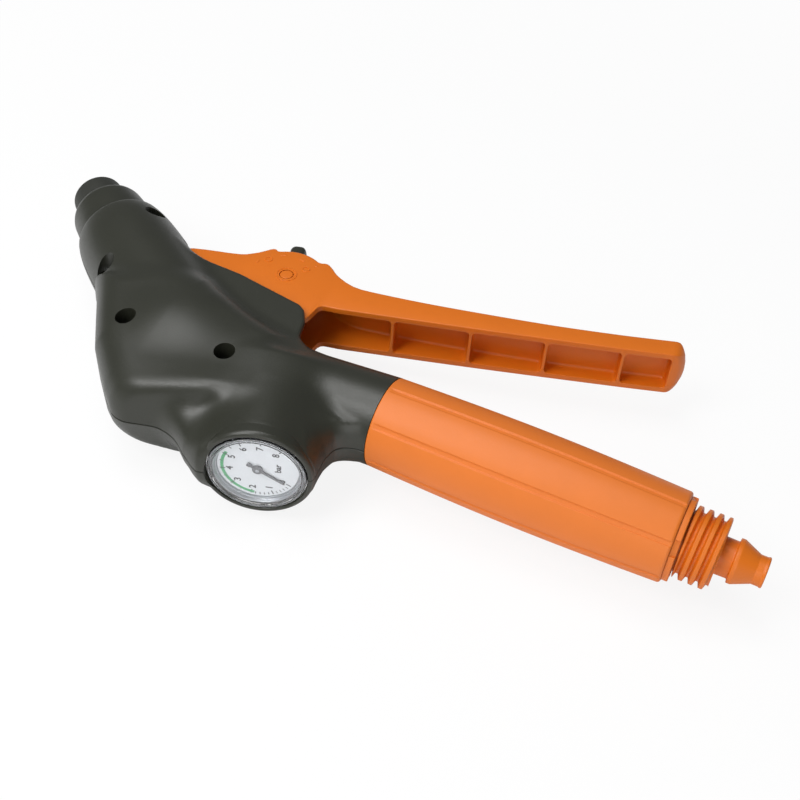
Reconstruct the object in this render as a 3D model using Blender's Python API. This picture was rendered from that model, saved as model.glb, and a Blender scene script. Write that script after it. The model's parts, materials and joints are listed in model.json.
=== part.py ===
"""Hand-held tyre inflator: squeeze lever, gauge, hose nipple and outlet barrel.

The part lies on its side.  The grip axis is +X, +Z is square to the plane in which the two
housing halves meet, and the lever opens toward +Y.  Lengths are in metres.  The design
origin is the centre of the seam between the housing and the grip; a root empty moves the
finished part so that the origin ends up under the middle of its bounding box.
"""
import math

import bmesh
import bpy
import numpy as np
from mathutils import Matrix, Vector

MM = 0.001

# ---------------------------------------------------------------- clearances and walls
SEAT_GAP = 0.3 * MM          # between pieces that seat on each other
RUN_GAP = 0.3 * MM           # radial clearance of pins and stems
WALL = 2.6 * MM              # moulded housing wall
PARTING_GAP = 0.3 * MM       # visible line between the housing halves

# ---------------------------------------------------------------- grip and hose end
SEAM_RADIUS = 19.6 * MM
GRIP_LENGTH = 126.9 * MM
GRIP_END_RADIUS = 18.8 * MM
GRIP_SWELL = 1.3 * MM
GRIP_WALL = 3.0 * MM
GRIP_END_WALL = 4.8 * MM
GRIP_GROOVES = 7
GROOVE_WIDTH = 2.2 * MM
GROOVE_DEPTH = 0.5 * MM
SPIGOT_LENGTH = 14.0 * MM
SPIGOT_WALL = 2.4 * MM
END_RING_LENGTH = 2.4 * MM
END_RING_RADIUS = 17.3 * MM
END_RING_WINDOWS = 4
THREAD_RADIUS = 15.0 * MM
THREAD_DEPTH = 2.2 * MM
THREAD_PITCH = 4.0 * MM
THREAD_LENGTH = 14.2 * MM
CONNECTOR_FLANGE = 4.0 * MM
CONNECTOR_TAIL = 6.0 * MM
NIPPLE_NECK_RADIUS = 7.6 * MM
NIPPLE_NECK_LENGTH = 5.2 * MM
BARB_RADIUS = 9.1 * MM
BARB_LENGTH = 8.8 * MM
NIPPLE_TIP_RADIUS = 6.2 * MM
NIPPLE_TIP_LENGTH = 4.0 * MM
NIPPLE_BORE = 4.0 * MM
INLET_TUBE_RADIUS = 6.0 * MM
INLET_TUBE_BORE = 4.2 * MM
INLET_TUBE_DEPTH = 6.0 * MM  # how far the tube enters the valve body and the connector
FILTER_LENGTH = 5.4 * MM

# ---------------------------------------------------------------- barrel and outlet
BEND_X = -98.4 * MM          # where the barrel axis meets the grip axis
BARREL_ANGLE = math.radians(145.46)
BARREL_LENGTH = 123.1 * MM   # from the bend to the outlet face
BARREL_RADIUS = 24.0 * MM
TIP_LENGTH = 15.7 * MM
TIP_RADIUS = 12.5 * MM
TIP_MOUTH_RADIUS = 8.2 * MM
TIP_MOUTH_DEPTH = 7.0 * MM
TIP_ROOT_LENGTH = 6.0 * MM
COLLAR_LENGTH = 20.6 * MM
COLLAR_FRONT_RADIUS = 17.6 * MM
COLLAR_REAR_RADIUS = 19.3 * MM
COLLAR_SPIGOT_LENGTH = 4.6 * MM
NOSE_RIM_RADIUS = 21.6 * MM
OUTLET_TUBE_RADIUS = 5.0 * MM
OUTLET_TUBE_BORE = 3.2 * MM

# ---------------------------------------------------------------- gauge
GAUGE_POINT = (-31.6 * MM, -51.4 * MM)   # centre of the gauge's front ring
GAUGE_ANGLE = math.radians(-70.2)        # where the gauge looks, from +X
GAUGE_RADIUS = 20.0 * MM
GAUGE_POCKET_WALL = 3.0 * MM
GAUGE_DEPTH = 24.0 * MM
LENS_THICKNESS = 1.2 * MM
LENS_SKIRT = 5.6 * MM
LENS_WALL = 1.6 * MM
DIAL_RIM = 1.5 * MM              # case wall round the dial
DIAL_RADIUS = GAUGE_RADIUS - LENS_WALL - SEAT_GAP - DIAL_RIM
DIAL_RECESS = 3.9 * MM
DIAL_THICKNESS = 0.8 * MM
POINTER_REACH = DIAL_RADIUS - 4.2 * MM
POINTER_TAIL = 5.0 * MM
POINTER_ZERO = math.radians(-33.0)       # pointer's angle at rest, on the dial
GAUGE_STEM_RADIUS = 4.5 * MM

# ---------------------------------------------------------------- lever and catch
LEVER_PIVOT = (-121.0 * MM, 36.0 * MM)
LEVER_HUB_RADIUS = 11.0 * MM
LEVER_HALF_WIDTH = 12.6 * MM             # at the pivot
LEVER_TIP_HALF_WIDTH = 11.5 * MM
LEVER_WEB = 3.0 * MM
LEVER_CHEEK = 3.0 * MM
LEVER_RIB = 1.3 * MM
LEVER_TIP_X = 101.2 * MM
PIVOT_PIN_RADIUS = 2.5 * MM
CATCH_PIVOT = (-77.8 * MM, 50.8 * MM)
CATCH_PIN_RADIUS = 2.7 * MM
CATCH_HUB_RADIUS = 6.2 * MM
CATCH_ARC_RADIUS = 17.7 * MM             # lever edge round the catch
CATCH_SHOULDER_RADIUS = 20.7 * MM
CATCH_REACH = 29.4 * MM
CATCH_ANGLE = math.radians(108.0)
CATCH_WIDTH = 8.2 * MM
CATCH_HALF_THICKNESS = 8.2 * MM
CATCH_TAIL = 13.0 * MM
WING_TOP = 15.7 * MM                     # outer face of the cheek plates over the lever
SLOT_CLEARANCE = 0.6 * MM                # lever to cheek plate

# ---------------------------------------------------------------- valve
VALVE_X = -104.0 * MM
BLOCK_RADIUS = 9.4 * MM
BLOCK_END = -34.0 * MM
BLOCK_START = -114.0 * MM
VALVE_HOUSING_RADIUS = 6.8 * MM
VALVE_TOP = 12.0 * MM
VALVE_BOTTOM = -13.0 * MM
CHAMBER_RADIUS = 5.2 * MM
SEAT_SHOULDER = 1.7 * MM                 # where the chamber steps in to the flow bore
SEAT_THICKNESS = 1.4 * MM
FLOW_RADIUS = 3.1 * MM
STEM_RADIUS = 2.0 * MM
STEM_TOP = 21.7 * MM
GLAND_SHOULDER = 7.7 * MM
GLAND_RADIUS = 4.8 * MM
SPRING_WIRE = 0.6 * MM
SPRING_RADIUS = 3.5 * MM
SPRING_TURNS = 4
CAP_LENGTH = 3.2 * MM
BLOCK_CRADLES = (-82.0 * MM, -57.0 * MM)  # housing walls that carry the valve body
TUBE_CRADLE = 58.0 * MM                  # the same for the outlet tube, depth from the face

# ---------------------------------------------------------------- housing screws
NECK_SCREWS = ((-67.1 * MM, -17.0 * MM), (-115.7 * MM, -18.3 * MM))
BARREL_SCREWS = ((73.2 * MM, 19.05 * MM), (49.4 * MM, -13.9 * MM))   # depth and side offset
SCREW_HEAD_RADIUS = 3.7 * MM
SCREW_HEAD_HEIGHT = 2.6 * MM
SCREW_SHANK_RADIUS = 1.5 * MM
SCREW_SEAT = 6.0 * MM                    # height of the floor of the counterbore
SCREW_DEPTH = 10.0 * MM                  # reach into the lower half
COUNTERBORE_RADIUS = 4.5 * MM
SCREW_BOSS_RADIUS = 6.0 * MM

ROUND = 28                               # facets of a full circle
GAUGE_ROUND = 36                         # facets of the gauge's round parts
GRIP_AXIS = Vector((1.0, 0.0, 0.0))
BARREL_AXIS = Vector((math.cos(BARREL_ANGLE), math.sin(BARREL_ANGLE), 0.0))
GAUGE_AXIS = Vector((math.cos(GAUGE_ANGLE), math.sin(GAUGE_ANGLE), 0.0))
BEND = Vector((BEND_X, 0.0, 0.0))
BARREL_TIP = BEND + BARREL_AXIS * BARREL_LENGTH
GAUGE_FACE = Vector((*GAUGE_POINT, 0.0))
UP = Vector((0.0, 0.0, 1.0))


def barrel_point(depth):
    """Point on the barrel axis at a depth behind the outlet face."""
    return BARREL_TIP - BARREL_AXIS * depth


def barrel_side_point(depth, offset):
    """Plan point beside the barrel axis, the offset to the gauge's side."""
    point = barrel_point(depth)
    return (point.x - BARREL_AXIS.y * offset, point.y + BARREL_AXIS.x * offset)


def gauge_point(depth):
    """Point on the gauge axis at a depth behind the gauge's front."""
    return GAUGE_FACE - GAUGE_AXIS * depth


SCREW_POINTS = NECK_SCREWS + tuple(barrel_side_point(*place) for place in BARREL_SCREWS)


def polar(centre, radius, degrees):
    """Plan point at a radius and an angle in degrees round a centre."""
    angle = math.radians(degrees)
    return (centre[0] + radius * math.cos(angle), centre[1] + radius * math.sin(angle))


def arc(centre, radius, start, end, steps):
    """Plan points along an arc, angles in degrees."""
    return [polar(centre, radius, start + (end - start) * k / steps) for k in range(steps + 1)]


def millimetres(*pairs):
    return [(x * MM, y * MM) for x, y in pairs]


# ================================================================= scene and materials
def clear_scene():
    for item in list(bpy.data.objects):
        bpy.data.objects.remove(item, do_unlink=True)


def material(name, colour, roughness, metallic=0.0, alpha=1.0):
    found = bpy.data.materials.get(name)
    if found:
        return found
    made = bpy.data.materials.new(name)
    made.use_nodes = True
    shader = made.node_tree.nodes["Principled BSDF"]
    shader.inputs["Base Color"].default_value = (*colour, 1.0)
    shader.inputs["Roughness"].default_value = roughness
    shader.inputs["Metallic"].default_value = metallic
    shader.inputs["Alpha"].default_value = alpha
    made.diffuse_color = (*colour, alpha)
    return made


def black_plastic():
    return material("black_plastic", (0.035, 0.036, 0.031), 0.45)


def lever_plastic():
    return material("lever_plastic", (0.70, 0.16, 0.006), 0.42)


def grip_plastic():
    return material("grip_plastic", (0.74, 0.21, 0.03), 0.55)


def brass():
    return material("brass", (0.60, 0.43, 0.16), 0.32, 1.0)


def steel():
    return material("steel", (0.55, 0.55, 0.56), 0.28, 1.0)


def rubber():
    return material("rubber", (0.018, 0.018, 0.018), 0.75)


def clear_plastic():
    return material("clear_plastic", (0.85, 0.87, 0.88), 0.08, 0.0, 0.3)


def dial_white():
    return material("dial_white", (0.66, 0.67, 0.68), 0.5)


# ================================================================= mesh helpers
def object_from(mesh_builder, name, finish, root):
    """Turn a bmesh into a named object with outward faces."""
    bmesh.ops.recalc_face_normals(mesh_builder, faces=mesh_builder.faces)
    mesh = bpy.data.meshes.new(name)
    mesh_builder.to_mesh(mesh)
    mesh_builder.free()
    made = bpy.data.objects.new(name, mesh)
    bpy.context.scene.collection.objects.link(made)
    if finish:
        made.data.materials.append(finish)
    made.parent = root
    return made


def grid_faces(builder, rows, wrap):
    """Quads between successive rows of vertices; a one-vertex row is a pole."""
    for low, high in zip(rows, rows[1:]):
        count = max(len(low), len(high))
        for k in range(count if wrap else count - 1):
            n = (k + 1) % count
            ring = []
            for row, order in ((low, (k, n)), (high, (n, k))):
                picks = [row[0]] if len(row) == 1 else [row[order[0]], row[order[1]]]
                ring.extend(p for p in picks if p not in ring)
            if len(ring) > 2:
                builder.faces.new(ring)


def aim(direction):
    """Rotation that turns local +Z along a direction, local +Y staying near +Z."""
    side = UP.cross(direction).normalized() if abs(direction.dot(UP)) < 0.99 else Vector((1, 0, 0))
    up = direction.cross(side).normalized()
    turn = Matrix((side, up, direction)).transposed()
    return turn.to_4x4()


def revolve(name, profile, finish, root, place=None, ring=False, segments=ROUND):
    """Body of revolution about local +Z from (height, radius) points."""
    builder = bmesh.new()
    rows = []
    for height, radius in profile:
        if radius < 1e-9:
            rows.append([builder.verts.new((0.0, 0.0, height))])
            continue
        turns = [2.0 * math.pi * k / segments for k in range(segments)]
        rows.append([builder.verts.new((radius * math.cos(t), radius * math.sin(t), height))
                     for t in turns])
    grid_faces(builder, rows + ([rows[0]] if ring else []), True)
    if not ring:
        for row in (rows[0], rows[-1]):
            if len(row) > 1:
                builder.faces.new(row)
    made = object_from(builder, name, finish, root)
    if place is not None:
        made.matrix_basis = place
    return made


def along(origin, direction):
    """Placement whose local +Z runs along a direction from an origin."""
    return Matrix.Translation(origin) @ aim(direction)


def prism(name, outline, low, high, finish, root):
    """Straight extrusion of a plan outline between two heights, which may be functions."""
    builder = bmesh.new()
    heights = [h if callable(h) else (lambda x, flat=h: flat) for h in (low, high)]
    rows = [[builder.verts.new((x, y, h(x))) for x, y in outline] for h in heights]
    grid_faces(builder, rows, True)
    for row in rows:
        builder.faces.new(row)
    return object_from(builder, name, finish, root)


def block(name, low, high, root=None):
    """Plain box, used as a cutter."""
    outline = [(low[0], low[1]), (high[0], low[1]), (high[0], high[1]), (low[0], high[1])]
    return prism(name, outline, low[2], high[2], None, root)


def cylinder(name, origin, direction, start, end, radius, root=None, finish=None, segments=ROUND):
    """Solid cylinder along a direction, between two distances from an origin."""
    return revolve(name, [(start, radius), (end, radius)], finish, root,
                   along(Vector(origin), direction), segments=segments)


def combine(target, tools, operation, solver="EXACT"):
    """Apply Booleans to a target and delete the tools."""
    for tool in tools:
        modifier = target.modifiers.new(operation.lower(), "BOOLEAN")
        modifier.operation = operation
        modifier.solver = solver
        modifier.object = tool
        bpy.context.view_layer.update()
        graph = bpy.context.evaluated_depsgraph_get()
        mesh = bpy.data.meshes.new_from_object(target.evaluated_get(graph))
        old = target.data
        target.modifiers.clear()
        target.data = mesh
        bpy.data.meshes.remove(old)
        bpy.data.objects.remove(tool, do_unlink=True)
    return target


def cut(target, *tools):
    return combine(target, tools, "DIFFERENCE")


def fuse(target, *tools):
    return combine(target, tools, "UNION")


def carve_shell(target, *tools):
    """Cut a housing half: its walls nearly touch many tools, which EXACT leaves open."""
    return combine(target, tools, "DIFFERENCE", "MANIFOLD")


def grow_shell(target, *tools):
    """Fuse to a housing half, with the same solver as its cuts."""
    return combine(target, tools, "UNION", "MANIFOLD")


def merge_flats(thing, degrees=0.8):
    """Join the facets of flat faces that Booleans split, and close hairline slivers."""
    builder = bmesh.new()
    builder.from_mesh(thing.data)
    bmesh.ops.remove_doubles(builder, verts=builder.verts, dist=8e-6)
    bmesh.ops.dissolve_degenerate(builder, dist=8e-6, edges=builder.edges)
    bmesh.ops.dissolve_limit(builder, angle_limit=math.radians(degrees), verts=builder.verts,
                             edges=builder.edges)
    bmesh.ops.triangulate(builder, faces=builder.faces, ngon_method="EAR_CLIP")
    builder.to_mesh(thing.data)
    builder.free()
    return thing


def set_origin(thing, point):
    """Move an object's origin to a point, leaving its shape where it is."""
    thing.data.transform(thing.matrix_basis)
    thing.data.transform(Matrix.Translation(-Vector(point)))
    thing.matrix_basis = Matrix.Translation(Vector(point))
    return thing


def smooth(thing, degrees=35.0):
    thing.data.shade_smooth()
    thing.data.set_sharp_from_angle(angle=math.radians(degrees))
    return thing


# ================================================================= housing form
def blend(one, two, width):
    """Union of two distance fields with a rounded crease of about the given width."""
    share = np.clip(0.5 + 0.5 * (two - one) / width, 0.0, 1.0)
    return two * (1.0 - share) + one * share - width * share * (1.0 - share)


def cone_field(points, start, end, start_radius, end_radius, edge, beyond=0.0):
    """Distance to a flat-ended cone with rounded rims, run on past both ends if asked."""
    start, end = np.array(start), np.array(end)
    length = np.linalg.norm(end - start)
    axis = (end - start) / length
    height = (points - start) @ axis
    radial = np.linalg.norm((points - start) - height[..., None] * axis, axis=-1)
    share = np.clip(height / length, -beyond / length, 1.0 + beyond / length)
    reach = start_radius + (end_radius - start_radius) * share
    side = (radial - reach) * math.cos(math.atan2(end_radius - start_radius, length))
    return -blend(-side, -np.maximum(-height - beyond, height - length - beyond), edge)


def capsule_field(points, start, end, start_radius, end_radius):
    """Distance to a round-ended cone."""
    start, end = np.array(start), np.array(end)
    run = end - start
    share = np.clip(((points - start) @ run) / (run @ run), 0.0, 1.0)
    gap = np.linalg.norm(points - (start + share[..., None] * run), axis=-1)
    return gap - (start_radius + (end_radius - start_radius) * share)


def outline_distance(points, outline):
    """Signed plan distance to a closed outline, negative inside."""
    x, y = points[..., 0], points[..., 1]
    corners = np.array(outline)
    nearest = np.full(x.shape, 1.0)
    sign = np.ones(x.shape)
    for here, before in zip(corners, np.roll(corners, 1, axis=0)):
        edge = before - here
        dx, dy = x - here[0], y - here[1]
        share = np.clip((dx * edge[0] + dy * edge[1]) / (edge @ edge), 0.0, 1.0)
        nearest = np.minimum(nearest, (dx - share * edge[0]) ** 2 + (dy - share * edge[1]) ** 2)
        above, below = y >= here[1], y < before[1]
        left = edge[0] * dy > edge[1] * dx
        crossed = (above & below & left) | ~(above | below | left)
        sign = np.where(crossed, -sign, sign)
    return sign * np.sqrt(nearest)


def rounded_meeting(one, two, edge):
    """Distance to what two distance fields share, their common edge rounded."""
    one, two = one + edge, two + edge
    inside = np.minimum(np.maximum(one, two), 0.0)
    return inside + np.hypot(np.maximum(one, 0.0), np.maximum(two, 0.0)) - edge


def slab_field(points, outline, half_height, edge):
    """Distance to a plan outline extruded both ways, with rounded edges."""
    return rounded_meeting(outline_distance(points, outline),
                           np.abs(points[..., 2]) - half_height, edge)


CORE_OUTLINE = millimetres((-146, 5), (-123, -31), (-108, -46.2), (-97.5, -55), (-80, -68),
                           (-62, -60), (-50, -20), (-60, 8), (-100, 22))
CORE_HALF_HEIGHT = 21.5 * MM
CORE_EDGE = 15.0 * MM
FACET = millimetres((-97.0, -54.3), (-77.0, -48.0))   # flat front wall of the core, in plan
FACET_EDGE = 5.0 * MM
WEB_OUTLINE = millimetres((-80, -40), (-75, -47.5), (-63, -56.5), (-53, -61), (-40, -56),
                          (-40, -25), (-70, -20))
THROAT_OUTLINE = millimetres((-15, -40), (-13.5, -30), (-11, -24), (-6, -17), (-40, -10),
                             (-40, -40))
WEB_HALF_HEIGHT = 13.0 * MM
WEB_EDGE = 8.5 * MM
NECK_BACK = (-50.0 * MM, -3.0 * MM, 0.0)
NECK_BACK_RADIUS = 18.4 * MM
COLLAR_END = TIP_LENGTH + COLLAR_LENGTH + SEAT_GAP * 2.0
OVERRUN = 15.0 * MM          # how far the form runs on past the open ends of the housing


def core_field(points):
    """Rounded slab, cut off by the flat front wall."""
    start, end = np.array(FACET)
    run = (end - start) / np.linalg.norm(end - start)
    wall = (points[..., :2] - start) @ np.array((run[1], -run[0]))
    slab = slab_field(points, CORE_OUTLINE, CORE_HALF_HEIGHT, CORE_EDGE)
    return rounded_meeting(slab, wall, FACET_EDGE)


def housing_field(points):
    """Outer form of the housing: blended union of barrel, core, webs, neck and gauge root."""
    neck = cone_field(points, NECK_BACK, (0.0, 0.0, 0.0), NECK_BACK_RADIUS, SEAM_RADIUS,
                      0.3 * MM, OVERRUN)
    nose = cone_field(points, barrel_point(COLLAR_END), barrel_point(75.0 * MM),
                      NOSE_RIM_RADIUS, BARREL_RADIUS, 0.3 * MM, OVERRUN)
    barrel = capsule_field(points, barrel_point(62.0 * MM), (-100.0 * MM, -4.0 * MM, 0.0),
                           BARREL_RADIUS, 1.07 * BARREL_RADIUS)
    middle = capsule_field(points, (-100.0 * MM, -8.0 * MM, 0.0), (-45.0 * MM, -5.0 * MM, 0.0),
                           25.0 * MM, NECK_BACK_RADIUS)
    core = core_field(points)
    web = slab_field(points, WEB_OUTLINE, WEB_HALF_HEIGHT, WEB_EDGE)
    throat = slab_field(points, THROAT_OUTLINE, WEB_HALF_HEIGHT, WEB_EDGE)
    root = cone_field(points, gauge_point(48.0 * MM), gauge_point(7.0 * MM),
                      GAUGE_RADIUS + 2.4 * MM, GAUGE_RADIUS + 2.8 * MM, 1.5 * MM)
    form = nose
    for other, width in ((barrel, 6.0), (middle, 8.0), (core, 12.0), (neck, 6.0), (web, 8.0),
                         (throat, 6.0), (root, 10.0)):
        form = blend(form, other, width * MM)
    return form


def cast(origins, directions, level):
    """Distances along rays, from inside, to where the field reaches a level."""
    reach = np.zeros(len(origins))
    for _ in range(70):
        points = origins + reach[:, None] * directions
        reach -= 0.85 * (housing_field(points) - level)
    return reach


def spine(share):
    """Plan point and sideways direction of the housing's spine, from outlet to seam."""
    start = np.array(barrel_point(COLLAR_END))
    bend, end = np.array(BEND), np.zeros(3)
    control = (start + 0.85 * (bend - start), end + 0.85 * (bend - end))
    left = 1.0 - share
    point = (left ** 3 * start + 3 * left ** 2 * share * control[0]
             + 3 * left * share ** 2 * control[1] + share ** 3 * end)
    run = (3 * left ** 2 * (control[0] - start) + 6 * left * share * (control[1] - control[0])
           + 3 * share ** 2 * (end - control[1]))
    run /= np.linalg.norm(run)
    bow = 11.0 * MM * math.sin(math.pi * share) ** 2
    point = point + np.array((0.0, -bow, 0.0))
    return point, np.array((-run[1], run[0], 0.0))


SHELL_STATIONS = 24
SHELL_RAYS = 15
RIM_SKIRT = 0.8 * MM         # extra depth below the parting plane, trimmed off at the end


def section(origin, side, level, rays=SHELL_RAYS):
    """Half cross-section of the housing: points where rays from an origin meet a level."""
    angles = np.linspace(0.0, math.pi, rays + 1)
    directions = np.cos(angles)[:, None] * side + np.sin(angles)[:, None] * np.array((0, 0, 1.0))
    origins = np.tile(np.array(origin, dtype=float), (rays + 1, 1))
    points = origins + cast(origins, directions, level)[:, None] * directions
    return points


def half_shell_grid(name, root):
    """Open half tube: outer and inner sections stitched along their rims."""
    builder = bmesh.new()
    skins = []
    for level in (0.0, -WALL):
        rows = []
        for k in range(SHELL_STATIONS + 1):
            point, side = spine(k / SHELL_STATIONS)
            points = section(point, side, level)
            skirt = [points[0] - (0, 0, RIM_SKIRT), *points, points[-1] - (0, 0, RIM_SKIRT)]
            rows.append([builder.verts.new(p) for p in skirt])
        grid_faces(builder, rows, False)
        skins.append(rows)
    outer, inner = skins
    for end in (0, -1):
        grid_faces(builder, [outer[end], inner[end]], False)
    for edge in (0, -1):
        grid_faces(builder, [[row[edge] for row in outer], [row[edge] for row in inner]], False)
    return object_from(builder, name, black_plastic(), root)


def wall_core():
    """Solid bounded by the middle of the housing wall, to trim what stands inside it."""
    builder = bmesh.new()
    rows = []
    for k in range(SHELL_STATIONS + 1):
        point, side = spine(k / SHELL_STATIONS)
        points = section(point, side, -0.5 * WALL)
        low = 2.0 * RIM_SKIRT
        rows.append([builder.verts.new(p) for p in
                     [points[0] - (0, 0, low), *points, points[-1] - (0, 0, low)]])
    grid_faces(builder, rows, True)
    for row in (rows[0], rows[-1]):
        builder.faces.new(row)
    return object_from(builder, "wall_core", None, None)


WING_OUTLINE = millimetres((-131, 41), (-122.9, 38.7), (-94.4, 37.8), (-60, 32.5),
                           (-56.8, 30.5), (-52.4, 23.7), (-49.7, 13.9), (-46, 9.5), (-43, 4),
                           (-60, 4.5), (-80, 10.5), (-95, 16.5), (-112, 26), (-127, 36))
SLOT_OUTLINE = millimetres((-133, 24), (-128, 12.5), (-48, 12.5), (-46.5, 40), (-46, 70),
                           (-133, 70))
SLOT_HALF = LEVER_HALF_WIDTH + SLOT_CLEARANCE


def wing_plate(name):
    """Cheek plate that covers the lever's root."""
    return prism(name, WING_OUTLINE, SLOT_HALF - 0.5 * MM, WING_TOP, None, None)


def gauge_ring():
    """Cylindrical mouth of the gauge pocket, with a rounded lip."""
    bore = GAUGE_RADIUS + 0.2 * MM
    outer = GAUGE_RADIUS + GAUGE_POCKET_WALL + 0.4 * MM
    lip = 1.2 * MM
    depth = GAUGE_DEPTH - 4.0 * MM
    profile = [(-depth, bore), (-lip * 0.4, bore), (0.0, bore + lip * 0.4), (0.0, outer - lip),
               (-0.3 * lip, outer - 0.3 * lip), (-lip, outer), (-depth, outer - 0.8 * MM)]
    return revolve("gauge_ring", profile, None, None, along(GAUGE_FACE, GAUGE_AXIS), True,
                   GAUGE_ROUND)


def neck_spigot():
    """Tube inside the neck that carries the grip sleeve."""
    outer = SEAM_RADIUS - GRIP_WALL - SEAT_GAP
    inner = outer - SPIGOT_WALL
    profile = [(-8.0 * MM, inner), (SPIGOT_LENGTH, inner), (SPIGOT_LENGTH, outer),
               (-2.0 * MM, outer), (-2.0 * MM, SEAM_RADIUS - 0.5 * WALL),
               (-8.0 * MM, SEAM_RADIUS - 0.5 * WALL)]
    return revolve("neck_spigot", profile, None, None, along(Vector(), GRIP_AXIS), True)


def cradle(origin, direction, hole_radius, thickness=2.4 * MM):
    """Cross wall between the shell and a round piece that it carries."""
    direction = np.array(direction)
    side = np.array((-direction[1], direction[0], 0.0))
    origin = np.array(origin)
    rim = section(origin, side, -0.5 * WALL, 16)
    angles = np.linspace(math.pi, 0.0, 17)
    hole = [origin + hole_radius * (math.cos(a) * side + math.sin(a) * np.array((0, 0, 1.0)))
            for a in angles]
    below = np.array((0, 0, RIM_SKIRT))
    loop = [rim[0] - below, *rim, rim[-1] - below, hole[0] - below, *hole, hole[-1] - below]
    builder = bmesh.new()
    rows = [[builder.verts.new(p + direction * step) for p in loop]
            for step in (-thickness / 2, thickness / 2)]
    grid_faces(builder, rows, True)
    for row in rows:
        builder.faces.new(row)
    return object_from(builder, "cradle", None, None)


def post(x, y, low, radius):
    """Round post from a height up into the housing wall."""
    made = cylinder("post", (x, y, 0.0), UP, low, 2.0 * BARREL_RADIUS, radius, segments=12)
    return combine(made, [wall_core()], "INTERSECT", "MANIFOLD")


PIVOT_PIN_HALF_LENGTH = SLOT_HALF + 2.6 * MM


def housing_half(name, screw_side, root):
    """One moulded half, modelled above the parting plane."""
    shell = half_shell_grid(name, root)
    grow_shell(shell, wing_plate("wing"), gauge_ring(), neck_spigot())
    for x in BLOCK_CRADLES:
        grow_shell(shell, cradle((x, 0.0, 0.0), GRIP_AXIS, BLOCK_RADIUS + SEAT_GAP))
    grow_shell(shell, cradle(barrel_point(TUBE_CRADLE), BARREL_AXIS,
                             OUTLET_TUBE_RADIUS + SEAT_GAP))
    grow_shell(shell, *[post(x, y, -RIM_SKIRT, SCREW_BOSS_RADIUS) for x, y in SCREW_POINTS])
    carve_shell(shell, prism("slot", SLOT_OUTLINE, -5.0 * MM, SLOT_HALF, None, None))
    grow_shell(shell, post(*LEVER_PIVOT, SLOT_HALF, 2.0 * PIVOT_PIN_RADIUS))
    carve_shell(shell, cylinder("gauge_bore", GAUGE_FACE, -GAUGE_AXIS, -5.0 * MM,
                                GAUGE_DEPTH + 1.0 * MM, GAUGE_RADIUS + 0.2 * MM,
                                segments=GAUGE_ROUND))
    carve_shell(shell, cylinder("pin_hole", (*LEVER_PIVOT, 0.0), UP, 0.0,
                                PIVOT_PIN_HALF_LENGTH + SEAT_GAP, PIVOT_PIN_RADIUS + RUN_GAP,
                                segments=20))
    for x, y in SCREW_POINTS:
        depth = SCREW_SEAT + 1.0 * MM if screw_side else SCREW_DEPTH + 1.0 * MM
        carve_shell(shell, cylinder("hole", (x, y, 0.0), UP, -5.0 * MM, depth,
                            SCREW_SHANK_RADIUS + RUN_GAP, segments=10))
        if screw_side:
            carve_shell(shell, cylinder("counterbore", (x, y, 0.0), UP, SCREW_SEAT, 60.0 * MM,
                                COUNTERBORE_RADIUS, segments=18))
    trim = block("trim", (-0.4, -0.4, -0.1), (0.4, 0.4, PARTING_GAP / 2))
    carve_shell(shell, trim)
    merge_flats(shell)
    if not screw_side:
        shell.data.transform(Matrix.Diagonal((1.0, 1.0, -1.0, 1.0)))
        shell.data.flip_normals()
    return smooth(shell)


def housing_screw(index, x, y, root):
    """Pan-head screw with a cross recess, standing on the floor of its counterbore."""
    seat = SCREW_SEAT + SEAT_GAP
    profile = [(-SCREW_DEPTH, 0.0), (-SCREW_DEPTH, SCREW_SHANK_RADIUS * 0.7),
               (-SCREW_DEPTH + 1.0 * MM, SCREW_SHANK_RADIUS), (seat, SCREW_SHANK_RADIUS),
               (seat, SCREW_HEAD_RADIUS), (seat + SCREW_HEAD_HEIGHT * 0.6, SCREW_HEAD_RADIUS),
               (seat + SCREW_HEAD_HEIGHT, SCREW_HEAD_RADIUS * 0.6),
               (seat + SCREW_HEAD_HEIGHT, 0.0)]
    screw = revolve("housing_screw_%d" % index, profile, steel(), root, segments=16)
    top = seat + SCREW_HEAD_HEIGHT
    arm, half = SCREW_HEAD_RADIUS * 0.55, 0.45 * MM
    quarter = [(arm, -half), (arm, half), (half, half)]
    cross = [(x * c - y * n, x * n + y * c) for c, n in ((1, 0), (0, 1), (-1, 0), (0, -1))
             for x, y in quarter]
    cut(screw, prism("cross", cross, top - 1.2 * MM, top + 1.0 * MM, None, None))
    screw.location = (x, y, 0.0)
    return smooth(screw)


# ================================================================= grip and hose end
def grip_radius(share):
    """Outer radius of the sleeve along its length, slightly barrelled."""
    taper = SEAM_RADIUS + (GRIP_END_RADIUS - SEAM_RADIUS) * share
    return taper + GRIP_SWELL * math.sin(math.pi * share)


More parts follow.
